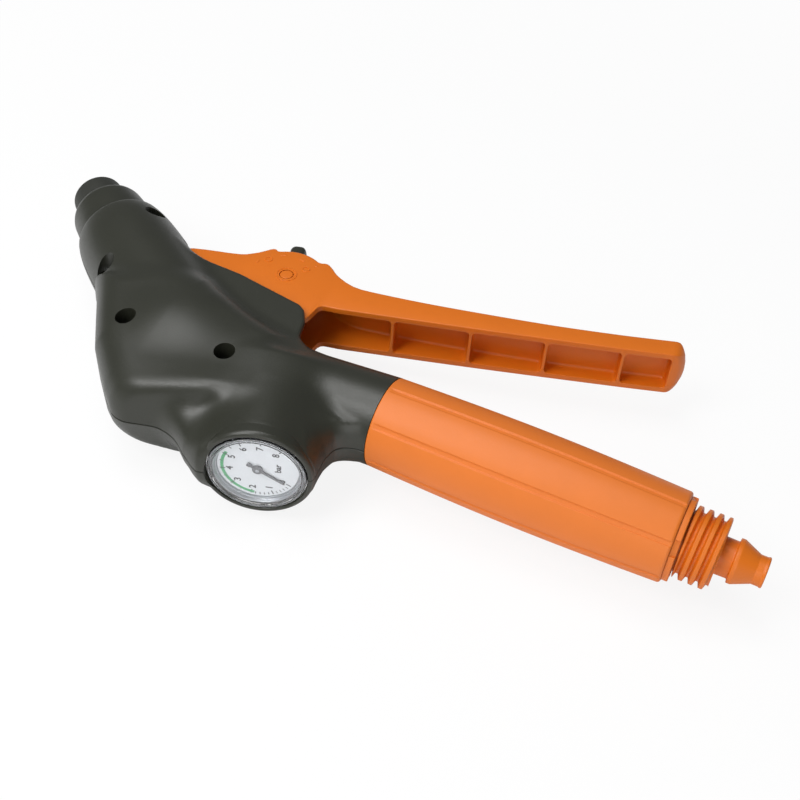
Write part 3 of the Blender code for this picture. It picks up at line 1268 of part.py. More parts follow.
def main():
    clear_scene()
    root = empty("inflator")
    housing_half("upper_shell", True, root)
    housing_half("lower_shell", False, root)
    for index, (x, y) in enumerate(SCREW_POINTS, 1):
        housing_screw(index, x, y, root)
    grip_sleeve(root)
    grip_end_ring(root)
    hose_connector(root)
    inlet_pieces(root)
    nose_tip(root)
    nose_collar(root)
    outlet_tube(root)
    valve_body(root)
    valve_trim(root)
    valve_stem(root)
    valve_spring(root)
    gauge_pieces(root)
    gauge_pointer(root)
    lever(root)
    lock_catch(root)
    pins(root)
    low, high = world_box()
    root.location = (-(low[0] + high[0]) / 2, -(low[1] + high[1]) / 2, -low[2])
    bpy.context.view_layer.update()
    report(root.location)


def report(shift):
    """Print the joint and mount places in the finished frame."""
    named = {"lever_pivot": Vector((*LEVER_PIVOT, 0.0)), "catch_pivot": Vector((*CATCH_PIVOT, 0.0)),
             "valve_axis": Vector((VALVE_X, STEM_TOP, 0.0)), "gauge_face": GAUGE_FACE,
             "nipple_end": Vector((NIPPLE_END, 0.0, 0.0)), "outlet_face": BARREL_TIP}
    for name, point in named.items():
        print(name, [round(v, 6) for v in point + shift])
    print("barrel axis", [round(v, 6) for v in BARREL_AXIS],
          "gauge axis", [round(v, 6) for v in GAUGE_AXIS], "shift", [round(v, 6) for v in shift])


main()
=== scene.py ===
"""Tyre inflator handpiece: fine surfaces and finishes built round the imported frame."""

import json
import math

import bmesh
import bpy
import numpy as np
from mathutils import Matrix, Vector


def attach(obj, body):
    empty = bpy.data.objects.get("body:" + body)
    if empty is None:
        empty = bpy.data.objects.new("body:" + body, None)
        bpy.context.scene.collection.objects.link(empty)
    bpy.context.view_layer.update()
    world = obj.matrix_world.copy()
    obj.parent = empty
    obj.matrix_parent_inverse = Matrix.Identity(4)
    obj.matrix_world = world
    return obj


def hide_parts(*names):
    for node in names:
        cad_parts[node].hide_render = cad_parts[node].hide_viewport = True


bl_info = {
    "name": "Inflator handpiece",
    "version": (1, 0, 0),
    "blender": (4, 5, 0),
    "location": "View3D > Sidebar > Inflator",
    "description": "Builds the skins, gauge, lever and finishes of a hand-held tyre inflator",
    "category": "Object",
}

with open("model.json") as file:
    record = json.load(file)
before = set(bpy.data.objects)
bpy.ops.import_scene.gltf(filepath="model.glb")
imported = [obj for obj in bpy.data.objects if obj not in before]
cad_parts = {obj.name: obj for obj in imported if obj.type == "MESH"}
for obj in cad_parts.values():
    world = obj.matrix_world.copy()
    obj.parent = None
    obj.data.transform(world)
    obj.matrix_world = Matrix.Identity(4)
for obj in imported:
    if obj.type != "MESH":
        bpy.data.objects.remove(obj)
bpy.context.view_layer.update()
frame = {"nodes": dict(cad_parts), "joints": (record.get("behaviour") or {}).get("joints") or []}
JOINTS = {joint["name"]: joint for joint in frame["joints"]}

# ---------------------------------------------------------------- shared places, in metres
# Every point below is written from the middle of the joint between grip and housing:
# +X along the grip, +Y to the lever, the parting plane at height 0. ORIGIN moves it to the frame.
MM = 0.001
LEVER_PIVOT = np.array((-121.0, 36.0, 0.0)) * MM
ORIGIN = np.array(JOINTS["lever_squeeze"]["pos_m"]) - LEVER_PIVOT
UP = np.array((0.0, 0.0, 1.0))
ACROSS = np.array((0.0, 1.0, 0.0))
GRIP_AXIS = np.array((1.0, 0.0, 0.0))
BARREL_AXIS = np.array((math.cos(math.radians(145.46)), math.sin(math.radians(145.46)), 0.0))
OUTLET = np.array((-98.4, 0.0, 0.0)) * MM + 123.1 * MM * BARREL_AXIS
GAUGE_AXIS = -np.array(JOINTS["pointer_turn"]["axis"])
GAUGE_FACE = np.array(JOINTS["pointer_turn"]["pos_m"]) - ORIGIN
CATCH_PIVOT = np.array(JOINTS["catch_turn"]["pos_m"]) - ORIGIN
PARTING_HALF = 0.15 * MM         # half the visible gap between the housing halves


def mm(*pairs):
    """Array of points given in millimetres."""
    return np.array(pairs, dtype=float) * MM


def barrel_point(depth):
    """Point on the barrel's axis, at a depth behind the outlet."""
    return OUTLET - BARREL_AXIS * depth


def gauge_point(depth):
    """Point on the gauge's axis, at a depth behind its face."""
    return GAUGE_FACE - GAUGE_AXIS * depth


# ================================================================= settings
class InflatorSizes(bpy.types.PropertyGroup):
    """Sizes of the visible surfaces that a user would change."""

    station_step: bpy.props.FloatProperty(
        name="Housing mesh step", description="Distance between sections of the housing skin",
        default=1.0 * MM, min=0.4 * MM, unit="LENGTH")
    grip_grooves: bpy.props.IntProperty(
        name="Grip grooves", description="Lengthwise grooves round the grip", default=7, min=0)
    groove_depth: bpy.props.FloatProperty(
        name="Groove depth", description="Depth of the grip's grooves", default=0.55 * MM,
        unit="LENGTH")
    thread_depth: bpy.props.FloatProperty(
        name="Thread depth", description="Height of the thread above its root",
        default=2.2 * MM, unit="LENGTH")
    rib_recess: bpy.props.FloatProperty(
        name="Rib recess", description="How far the lever's ribs stand back from its rim",
        default=0.25 * MM, unit="LENGTH")
    numeral_height: bpy.props.FloatProperty(
        name="Numeral height", description="Height of the numbers on the dial",
        default=2.9 * MM, unit="LENGTH")


class InflatorFinishes(bpy.types.PropertyGroup):
    """Colours of the mouldings and of the print, as sRGB hex values."""

    housing: bpy.props.StringProperty(
        name="Housing", description="Glass-filled nylon of the housing", default="2a2b22")
    lever: bpy.props.StringProperty(
        name="Lever", description="Acetal of the lever and the hose end", default="da6f0e")
    grip: bpy.props.StringProperty(
        name="Grip", description="Polypropylene of the grip", default="e07624")
    dial: bpy.props.StringProperty(
        name="Dial", description="White enamel of the dial", default="cbced2")
    zone: bpy.props.StringProperty(
        name="Zone", description="Green working zone on the dial", default="3f9a63")
    floor: bpy.props.StringProperty(
        name="Floor", description="Pale studio floor", default="f7f7f7")


def sizes():
    """Sizes that the panel shows."""
    return bpy.context.scene.inflator_sizes


def finishes():
    """Colours that the panel shows."""
    return bpy.context.scene.inflator_finishes


# ================================================================= meshes
def axes_of(direction):
    """Two directions square to a direction: sideways and up, or along and across for UP."""
    if abs(direction @ UP) > 0.5:
        return GRIP_AXIS, ACROSS
    side = np.cross(UP, direction)
    return side, np.cross(direction, side)


def faces_of(rows, columns, wrap_rows, wrap_columns):
    """Quads of a grid of points, by the index of each corner."""
    index = np.arange(rows * columns).reshape(rows, columns)
    if wrap_rows:
        index = np.vstack([index, index[:1]])
    if wrap_columns:
        index = np.hstack([index, index[:, :1]])
    return np.stack([index[:-1, :-1], index[1:, :-1], index[1:, 1:], index[:-1, 1:]],
                    axis=-1).reshape(-1, 4)


def make(name, shells, sharp=35.0):
    """Object from closed shells, each a (points, faces) pair, welded and turned outwards."""
    points, faces, start = [], [], 0
    for some_points, some_faces in shells:
        points.append(np.asarray(some_points).reshape(-1, 3) + ORIGIN)
        faces += [[corner + start for corner in face] for face in some_faces]
        start += len(points[-1])
    mesh = bpy.data.meshes.new(name)
    mesh.from_pydata(np.concatenate(points).tolist(), [], faces)
    builder = bmesh.new()
    builder.from_mesh(mesh)
    bmesh.ops.remove_doubles(builder, verts=builder.verts, dist=1e-6)
    bmesh.ops.dissolve_degenerate(builder, dist=1e-7, edges=builder.edges)
    bmesh.ops.recalc_face_normals(builder, faces=builder.faces)
    builder.to_mesh(mesh)
    builder.free()
    piece = bpy.data.objects.new(name, mesh)
    bpy.context.scene.collection.objects.link(piece)
    soften(piece, sharp)
    return piece


def soften(piece, sharp):
    """Smooth shading, but for edges that turn by more than the given angle in degrees."""
    piece.data.shade_smooth()
    piece.data.set_sharp_from_angle(angle=math.radians(sharp))


def dress(piece, material, body, slot, *replaced):
    """Give a piece its finish, the body that it rides on and the nodes that it stands for."""
    piece.data.materials.clear()
    piece.data.materials.append(material)
    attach(piece, body)
    if replaced:
        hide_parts(*replaced)
    return piece


def tube(grid, capped=True):
    """Closed shell: rows of a grid are rings, and flat caps close the first and the last."""
    rows, columns = grid.shape[:2]
    faces = faces_of(rows, columns, False, True).tolist()
    if capped:
        faces.append(list(range(columns))[::-1])
        faces.append(list(range((rows - 1) * columns, rows * columns)))
    return grid, faces


def ringed(grid):
    """Closed shell of a grid that wraps round both ways."""
    return grid, faces_of(*grid.shape[:2], True, True).tolist()


def swept(profile, axis, ring):
    """Rings of a profile of (a, r) pairs: point = a * axis + r * ring(t)."""
    return profile[:, 0][:, None, None] * axis + profile[:, 1][:, None, None] * ring


def plan_arc(centre, radius, angles):
    """Plan points on a circle: centre + radius * (cos t, sin t), at angles t in degrees."""
    turn = np.radians(angles)
    return centre[:2] + radius * np.stack([np.cos(turn), np.sin(turn)], axis=-1)


def turned(flat, angle):
    """Plan points turned about the origin by an angle in radians."""
    c, s = math.cos(angle), math.sin(angle)
    return flat @ np.array(((c, s), (-s, c)))


def fillet(corners, radii, steps=4, closed=False):
    """Polyline whose corners become arcs that meet both sides at radius / tan(half angle)."""
    corners = np.asarray(corners, dtype=float)
    radii = np.broadcast_to(radii, (len(corners),)) * MM
    out = []
    for k, (corner, radius) in enumerate(zip(corners, radii)):
        if radius <= 0 or (not closed and k in (0, len(corners) - 1)):
            out.append(corner)
            continue
        back = corners[k - 1] - corner
        ahead = corners[(k + 1) % len(corners)] - corner
        room = 0.49 * min(np.linalg.norm(back), np.linalg.norm(ahead))
        back, ahead = back / np.linalg.norm(back), ahead / np.linalg.norm(ahead)
        half = 0.5 * math.acos(float(np.clip(back @ ahead, -0.9999, 0.9999)))
        reach = min(radius / math.tan(half), room)
        radius = reach * math.tan(half)
        middle = corner + (back + ahead) / np.linalg.norm(back + ahead) * radius / math.sin(half)
        first, last = corner + back * reach - middle, corner + ahead * reach - middle
        turn = math.acos(float(np.clip(first @ last / radius ** 2, -1.0, 1.0)))
        for share in np.linspace(0.0, 1.0, steps + 1):
            weight = (math.sin((1 - share) * turn), math.sin(share * turn))
            out.append(middle + (first * weight[0] + last * weight[1]) / math.sin(turn)
                       if turn > 1e-4 else middle + first)
    return np.array(out)


def lathe(profile, origin, axis, segments=96, arc=(0.0, 360.0), closed=True):
    """Shell turned round an axis: point = origin + a * axis + r * (cos t * side + sin t * up).

    The profile is a loop of (a, r) pairs; one that isn't closed has both its ends on the axis.
    An arc short of a full turn gets end caps.
    """
    side, up = axes_of(axis)
    full = arc[1] - arc[0] >= 360.0
    turn = np.radians(np.linspace(arc[0], arc[1], segments + (0 if full else 1), endpoint=not full))
    a, r = profile[:, 0], profile[:, 1]
    ring = np.cos(turn)[:, None] * side + np.sin(turn)[:, None] * up
    grid = origin + a[None, :, None] * axis + r[None, :, None] * ring[:, None, :]
    rows, columns = grid.shape[:2]
    faces = faces_of(rows, columns, full, closed).tolist()
    if not full:
        faces += [list(range(columns)), list(range((rows - 1) * columns, rows * columns))[::-1]]
    return grid, faces


def prism(outline, low, high):
    """Shell of a plan outline carried straight up between two heights."""
    flat = np.c_[outline, np.zeros(len(outline))]
    return tube(np.stack([flat + low * UP, flat + high * UP]))


def mirrored(shell):
    """The same shell on the other side of the parting plane."""
    points, faces = shell
    return np.asarray(points) * (1.0, 1.0, -1.0), faces


def carve(piece, shells, sharp=32.0):
    """Cut closed shells, which don't meet each other, out of a piece."""
    cutter = make("cutter", shells)
    modifier = piece.modifiers.new("cut", "BOOLEAN")
    modifier.operation = "DIFFERENCE"
    modifier.solver = "MANIFOLD"
    modifier.object = cutter
    graph = bpy.context.evaluated_depsgraph_get()
    graph.update()
    mesh = bpy.data.meshes.new_from_object(piece.evaluated_get(graph))
    piece.modifiers.clear()
    old, piece.data = piece.data, mesh
    bpy.data.meshes.remove(old)
    bpy.data.objects.remove(cutter)
    soften(piece, sharp)
    return piece


# ================================================================= materials
def linear(colour):
    """Linear RGBA of an sRGB hex value."""
    parts = [int(colour[k:k + 2], 16) / 255.0 for k in (0, 2, 4)]
    return (*[p / 12.92 if p <= 0.04045 else ((p + 0.055) / 1.055) ** 2.4 for p in parts], 1.0)


def add(tree, kind, sockets=None, **settings):
    """Add a node; a socket given another node's output is linked, any other value is set."""
    made = tree.nodes.new(kind)
    for key, value in settings.items():
        setattr(made, key, value)
    for key, value in (sockets or {}).items():
        if isinstance(value, bpy.types.NodeSocket):
            tree.links.new(value, made.inputs[key])
        else:
            made.inputs[key].default_value = value
    return made


def start_material(name):
    """Empty node material and its tree."""
    material = bpy.data.materials.new(name)
    material.use_nodes = True
    material.node_tree.nodes.clear()
    return material, material.node_tree


def moulding(name, colour, roughness, grain=0.5, bump=0.05, mottle=0.08, ior=1.5):
    """Moulded plastic: flow mottling in the colour, and the mould's spark-eroded grain.

    grain is the grain's size in millimetres; mottle the share by which the colour varies.
    """
    material, tree = start_material(name)
    place = add(tree, "ShaderNodeTexCoord")
    cloud = add(tree, "ShaderNodeTexNoise", {"Vector": place.outputs["Object"], "Scale": 55.0,
                                             "Detail": 4.0, "Roughness": 0.6})
    fine = add(tree, "ShaderNodeTexNoise", {"Vector": place.outputs["Object"],
                                            "Scale": 1000.0 / grain, "Detail": 2.0})
    base = linear(colour)
    dark = (*[c * (1.0 - mottle) for c in base[:3]], 1.0)
    light = (*[min(c * (1.0 + mottle) + 0.01 * mottle, 1.0) for c in base[:3]], 1.0)
    # Sockets 6 and 7 of a colour mix are its A and B, and output 2 is its colour.
    tint = add(tree, "ShaderNodeMix", {0: cloud.outputs["Fac"], 6: dark, 7: light},
               data_type="RGBA")
    gloss = add(tree, "ShaderNodeMapRange", {"Value": fine.outputs["Fac"], "From Min": 0.25,
                                             "From Max": 0.75, "To Min": roughness - 0.06,
                                             "To Max": roughness + 0.06})
    relief = add(tree, "ShaderNodeBump", {"Height": fine.outputs["Fac"], "Strength": bump,
                                          "Distance": 0.3 * MM})
    shader = add(tree, "ShaderNodeBsdfPrincipled",
                 {"Base Color": tint.outputs[2], "Roughness": gloss.outputs["Result"],
                  "IOR": ior, "Normal": relief.outputs["Normal"]})
    add(tree, "ShaderNodeOutputMaterial", {"Surface": shader.outputs[0]})
    return material


def metal(name, colour, roughness, grain=0.25, stretch=(1.0, 1.0, 1.0)):
    """Bare or plated metal with the fine streaks that turning, drawing or brushing leaves."""
    material, tree = start_material(name)
    place = add(tree, "ShaderNodeTexCoord")
    along = add(tree, "ShaderNodeMapping", {"Vector": place.outputs["Object"], "Scale": stretch})
    streak = add(tree, "ShaderNodeTexNoise", {"Vector": along.outputs[0],
                                              "Scale": 1000.0 / grain, "Detail": 3.0})
    gloss = add(tree, "ShaderNodeMapRange", {"Value": streak.outputs["Fac"], "From Min": 0.3,
                                             "From Max": 0.7, "To Min": roughness - 0.08,
                                             "To Max": roughness + 0.08})
    relief = add(tree, "ShaderNodeBump", {"Height": streak.outputs["Fac"], "Strength": 0.08,
                                          "Distance": 0.1 * MM})
    shader = add(tree, "ShaderNodeBsdfPrincipled",
                 {"Base Color": linear(colour), "Metallic": 1.0,
                  "Roughness": gloss.outputs["Result"], "Normal": relief.outputs["Normal"]})
    add(tree, "ShaderNodeOutputMaterial", {"Surface": shader.outputs[0]})
    return material


def clear_acrylic(name):
    """Clear moulded acrylic: light passes to the dial, and only its gloss shows."""
    material, tree = start_material(name)
    place = add(tree, "ShaderNodeTexCoord")
    film = add(tree, "ShaderNodeTexNoise", {"Vector": place.outputs["Object"], "Scale": 180.0})
    gloss = add(tree, "ShaderNodeMapRange", {"Value": film.outputs["Fac"], "To Min": 0.03,
                                             "To Max": 0.09})
    shader = add(tree, "ShaderNodeBsdfPrincipled",
                 {"Base Color": (1.0, 1.0, 1.0, 1.0), "Roughness": gloss.outputs["Result"],
                  "IOR": 1.49, "Transmission Weight": 1.0})
    clear = add(tree, "ShaderNodeBsdfTransparent", {"Color": (0.97, 0.98, 0.98, 1.0)})
    rays = add(tree, "ShaderNodeLightPath")
    both = add(tree, "ShaderNodeMixShader", {0: rays.outputs["Is Shadow Ray"],
                                             1: shader.outputs[0], 2: clear.outputs[0]})
    add(tree, "ShaderNodeOutputMaterial", {"Surface": both.outputs[0]})
    return material


FINISHES = {}


def finish(name):
    """The named finish, made once."""
    if name not in FINISHES:
        FINISHES[name] = MAKERS[name](name)
    return FINISHES[name]


MAKERS = {
    # Glass-filled nylon from a spark-eroded mould: near black, olive cast, a broad soft sheen.
    "black_glass_filled_nylon": lambda name: moulding(
        name, finishes().housing, 0.4, grain=0.7, bump=0.12, mottle=0.1, ior=1.53),
    # Soft black rubber: duller and blacker than the nylon.
    "black_nitrile_rubber": lambda name: moulding(
        name, "2b2c26", 0.62, grain=0.6, bump=0.08, mottle=0.06, ior=1.5),
    # Acetal from a fine mould: even orange, a waxy satin face.
    "orange_moulded_acetal": lambda name: moulding(
        name, finishes().lever, 0.42, grain=0.5, bump=0.04, mottle=0.05, ior=1.48),
    # Polypropylene: paler and softer than the lever, with a matt grain.
    "orange_moulded_polypropylene": lambda name: moulding(
        name, finishes().grip, 0.5, grain=0.6, bump=0.07, mottle=0.06, ior=1.49),
    # White enamel printed plate: even, slightly cool, with a dull gloss.
    "white_dial_enamel": lambda name: moulding(
        name, finishes().dial, 0.45, grain=1.2, bump=0.01, mottle=0.02, ior=1.5),
    "black_dial_print": lambda name: moulding(
        name, "232428", 0.5, grain=0.8, bump=0.01, mottle=0.1),
    "green_dial_print": lambda name: moulding(
        name, finishes().zone, 0.5, grain=0.8, bump=0.01, mottle=0.15),
    # Anodised aluminium needle, dark grey.
    "grey_anodised_aluminium": lambda name: moulding(
        name, "5a5b5e", 0.4, grain=0.5, bump=0.02, mottle=0.05),
    # Plated and drawn metals: turned marks run round, drawn marks along the wire.
    "zinc_plated_steel": lambda name: metal(name, "b4b6b8", 0.34, stretch=(1.0, 1.0, 4.0)),
    "brushed_gauge_steel": lambda name: metal(name, "a9acb1", 0.38, stretch=(1.0, 1.0, 3.0)),
    "turned_brass": lambda name: metal(name, "c79a4b", 0.3, stretch=(5.0, 1.0, 1.0)),
    "clear_moulded_acrylic": clear_acrylic,
}

NODE_FINISHES = {
    "turned_brass": ("bourdon_tube", "gauge_movement", "gauge_stem", "gland_ring",
                     "inlet_filter", "inlet_tube", "outlet_tube", "valve_body", "valve_cap"),
    "zinc_plated_steel": ("housing_screw_1", "housing_screw_2", "housing_screw_3",
                          "housing_screw_4", "lever_pivot_pin", "valve_spring", "valve_stem"),
    "black_nitrile_rubber": ("stem_seal", "valve_seat"),
    "orange_moulded_acetal": ("catch_pin",),
}


# ================================================================= housing
def blend(one, two, width):
    """Union of two distance fields with a rounded crease of about the given width."""
    share = np.clip(0.5 + 0.5 * (two - one) / width, 0.0, 1.0)
    return two * (1.0 - share) + one * share - width * share * (1.0 - share)


def rounded_box(side, top, edge):
    """Distance to the meeting of two faces with a rounded edge."""
    side, top = side + edge, top + edge
    return (np.minimum(np.maximum(side, top), 0.0)
            + np.hypot(np.maximum(side, 0.0), np.maximum(top, 0.0)) - edge)


def cone_field(points, start, end, radii, edge, beyond=0.0):
    """Distance to a flat-ended cone, run on past both ends if asked."""
    length = np.linalg.norm(end - start)
    axis = (end - start) / length
    height = (points - start) @ axis
    out = np.linalg.norm((points - start) - height[..., None] * axis, axis=-1)
    share = np.clip(height / length, -beyond / length, 1.0 + beyond / length)
    side = out - (radii[0] + (radii[1] - radii[0]) * share)
    return rounded_box(side, np.abs(height - length / 2) - length / 2 - beyond, edge)


def capsule_field(points, start, end, radii):
    """Distance to a round-ended cone."""
    run = end - start
    share = np.clip(((points - start) @ run) / (run @ run), 0.0, 1.0)
    gap = np.linalg.norm(points - (start + share[..., None] * run), axis=-1)
    return gap - (radii[0] + (radii[1] - radii[0]) * share)


def plan_distance(points, outline):
    """Signed plan distance to a closed outline, negative inside."""
    x, y = points[..., 0], points[..., 1]
    nearest, sign = np.full(x.shape, 1.0), np.ones(x.shape)
    for here, before in zip(outline, np.roll(outline, 1, axis=0)):
        edge = before - here
        dx, dy = x - here[0], y - here[1]
        share = np.clip((dx * edge[0] + dy * edge[1]) / (edge @ edge), 0.0, 1.0)
        nearest = np.minimum(nearest, (dx - share * edge[0]) ** 2 + (dy - share * edge[1]) ** 2)
        above, below, left = y >= here[1], y < before[1], edge[0] * dy > edge[1] * dx
        sign = np.where((above & below & left) | ~(above | below | left), -sign, sign)
    return sign * np.sqrt(nearest)


CORE_OUTLINE = mm((-149, 4.5), (-124, -31), (-108.5, -46.2), (-97.5, -55), (-80, -68), (-44, -60),
                  (-36, -18), (-52, 8), (-100, 22))
FACET = mm((-97.0, -54.3), (-77.0, -48.0))     # flat front wall of the core, in plan
FACET_LEAN = math.radians(13.5)
FACET_EDGE = 4.5 * MM
CORE_TOP = 22.8 * MM
CORE_EDGE = 12.0 * MM
DROOP = 0.36                     # slope that the core's top falls to, away from its crest
DROOP_CREST = -62.0 * MM         # where the top is highest, along the grip's axis
DROOP_ROUND = 10.0 * MM          # how softly the slope begins there
DROOP_FADE = 14.0 * MM           # how far behind the front wall the slope lasts
MIDDLE = np.array(((-100.0, -8.0, 0.0), (-45.0, -5.0, 0.0))) * MM   # round body inside the core
MIDDLE_RADII = (23.6 * MM, 18.4 * MM)
NECK_BACK = np.array((-50.0, -3.0, 0.0)) * MM
NECK_RADIUS = 18.4 * MM
NECK_BEYOND = 15.0 * MM          # how far the neck runs on past both its ends
SEAM_RADIUS = 19.6 * MM          # where the neck meets the grip
WEB_OUTLINE = mm((-80, -40), (-75, -47.5), (-63, -56.5), (-53, -61), (-40, -56), (-40, -25),
                 (-70, -20))
THROAT_OUTLINE = mm((-15, -40), (-13.5, -30), (-11, -24), (-6, -17), (-40, -10), (-40, -40))
WING_OUTLINE = fillet(mm((-131, 41), (-122.9, 38.7), (-94.4, 37.8), (-60, 32.5), (-56.4, 30.2),
                         (-52.4, 23.7), (-49.7, 13.9), (-46, 9.5), (-43, 4), (-43, -6),
                         (-120, -6), (-131, 20)),
                      [0, 8, 30, 4, 4, 6, 6, 4, 0, 0, 0, 0], closed=True)
WING_TOP = 15.7 * MM
WING_EDGE = 1.4 * MM
WEB_TOP = 11.5 * MM
WEB_EDGE = 9.5 * MM
THROAT_TOP = 13.0 * MM
THROAT_EDGE = 8.5 * MM
GAUGE_ROOT_DEPTHS = (48.0 * MM, 2.0 * MM)
GAUGE_ROOT_RADII = (22.4 * MM, 22.9 * MM)
GAUGE_ROOT_EDGE = 1.5 * MM
SLOT_OUTLINE = mm((-133, 24), (-128, 12.5), (-48, 12.5), (-46.5, 40), (-46, 70), (-133, 70))
SLOT_HALF = 13.2 * MM
RIM_DEPTH = 36.9 * MM            # where the housing begins, behind the outlet
RIM_EDGE = 0.9 * MM              # rounding of that rim
BARREL_RUN = 86.0 * MM           # from the rim to the round end of the barrel, inside the core
SEAM_ROW = 0.45 * MM             # height of the first row of points over the parting plane
GAUGE_RADIUS = 20.0 * MM


def barrel_field(points):
    """Distance to the barrel: rounded rim, then r = 21.6 + 2.6 (1 - exp(-h / 10)) + h / 120."""
    place = points - barrel_point(RIM_DEPTH)
    height = place @ -BARREL_AXIS
    out = np.linalg.norm(place + height[..., None] * BARREL_AXIS, axis=-1)
    h = np.clip(height, 0.0, BARREL_RUN)
    radius = 21.6 * MM + 2.6 * MM * (1 - np.exp(-h / (10 * MM))) + h / 120
    lip = np.clip(1.0 - h / RIM_EDGE, 0.0, 0.995)
    radius = radius - RIM_EDGE * (1 - np.sqrt(1 - lip ** 2))
    past = np.maximum(height - BARREL_RUN, 0.0)
    return np.where(past > 0.0, np.hypot(out, past) - radius, out - radius)


def core_field(points):
    """Distance to the core: a rounded slab whose top droops to its leaning front wall.

    The top's height is CORE_TOP - DROOP * (hypot(round, x - crest) - round). Toward the barrel
    this droop fades with exp(-inset / fade) behind the wall.
    """
    run = (FACET[1] - FACET[0]) / np.linalg.norm(FACET[1] - FACET[0])
    height = np.abs(points[..., 2])
    wall = (points[..., :2] - FACET[0]) @ np.array((run[1], -run[0]))
    droop = DROOP * (np.hypot(DROOP_ROUND, points[..., 0] - DROOP_CREST) - DROOP_ROUND)
    fade = np.exp(np.minimum(wall, 0.0) / DROOP_FADE)
    droop = droop * np.where(points[..., 0] < DROOP_CREST, fade, 1.0)
    wall = wall * math.cos(FACET_LEAN) + height * math.sin(FACET_LEAN)
    slab = rounded_box(plan_distance(points, CORE_OUTLINE), height - CORE_TOP + droop, CORE_EDGE)
    return rounded_box(slab, wall, FACET_EDGE)


def slab_field(points, outline, top, edge):
    """Distance to a flat slab of a plan outline, as high above the parting plane as below it."""
    return rounded_box(plan_distance(points, outline), np.abs(points[..., 2]) - top, edge)


def housing_form(points):
    """Distance to the housing: blended union of barrel, core, webs, neck, gauge root and wing."""
    # Each part comes with the width of its crease to the parts before it, in millimetres.
    parts = (
        (barrel_field(points), 0.0),
        (capsule_field(points, *MIDDLE, MIDDLE_RADII), 8.0),
        (core_field(points), 9.0),
        (cone_field(points, NECK_BACK, np.zeros(3), (NECK_RADIUS, SEAM_RADIUS), 0.3 * MM,
                    NECK_BEYOND), 6.0),
        (slab_field(points, WEB_OUTLINE, WEB_TOP, WEB_EDGE), 9.0),
        (slab_field(points, THROAT_OUTLINE, THROAT_TOP, THROAT_EDGE), 6.0),
        (cone_field(points, gauge_point(GAUGE_ROOT_DEPTHS[0]), gauge_point(GAUGE_ROOT_DEPTHS[1]),
                    GAUGE_ROOT_RADII, GAUGE_ROOT_EDGE), 9.0),
        (slab_field(points, WING_OUTLINE, WING_TOP, WING_EDGE), 5.0),
    )
    form = parts[0][0]
    for other, width in parts[1:]:
        form = blend(form, other, width * MM)
    return form


# Spine of the housing: place in millimetres, and the plan angles of the rays that leave it
# on the lever's side and on the gauge's side. The rays fan so that each meets the form once.
RIM_PLACE = barrel_point(RIM_DEPTH) / MM
SPINE = np.array((
    (RIM_PLACE[0], RIM_PLACE[1], 55.46, -124.54), (-150.4, 35.8, 55.46, -124.54),
    (-133.9, 24.4, 57.0, -124.5), (-117.4, 13.1, 62.0, -124.0), (-105.0, 4.0, 68.0, -121.0),
    (-98.0, 0.0, 72.0, -112.0), (-92.0, -2.0, 76.0, -103.0), (-86.0, -3.0, 80.0, -98.0),
    (-78.0, -4.0, 84.0, -94.0), (-70.0, -4.0, 85.0, -95.0), (-62.0, -4.0, 80.0, -97.0),
    (-56.0, -4.0, 75.0, -97.0), (-52.0, -4.0, 72.0, -92.0), (-46.0, -3.0, 71.0, -85.0),
    (-38.0, -2.0, 75.0, -76.0), (-31.0, -1.0, 79.0, -68.0), (-28.0, -0.6, 81.0, -64.5),
    (-24.0, 0.0, 83.0, -61.5), (-20.0, 0.0, 84.0, -64.0), (-14.0, 0.0, 86.0, -72.0),
    (-7.0, 0.0, 88.0, -82.0), (0.0, 0.0, 90.0, -90.0)))


def spine(share):
    """Origin and the two plan directions at shares of the spine's length."""
    steps = np.linalg.norm(np.diff(SPINE[:, :2], axis=0), axis=1)
    along = np.concatenate([[0.0], np.cumsum(steps)]) / steps.sum()
    x, y, near, far = (np.interp(share, along, SPINE[:, k]) for k in range(4))
    origin = np.stack([x * MM, y * MM, np.zeros_like(x)], axis=-1)
    plan = [np.stack([np.cos(np.radians(a)), np.sin(np.radians(a)), np.zeros_like(a)], axis=-1)
            for a in (near, far)]
    return origin, plan[0], plan[1]


def march(form, origins, directions, start=0.0, steps=80):
    """Distance along each ray at which a form, met from inside, ends."""
    reach = np.full(origins.shape[:-1], start)
    for _ in range(steps):
        reach = reach - 0.85 * form(origins + reach[..., None] * directions)
    return reach


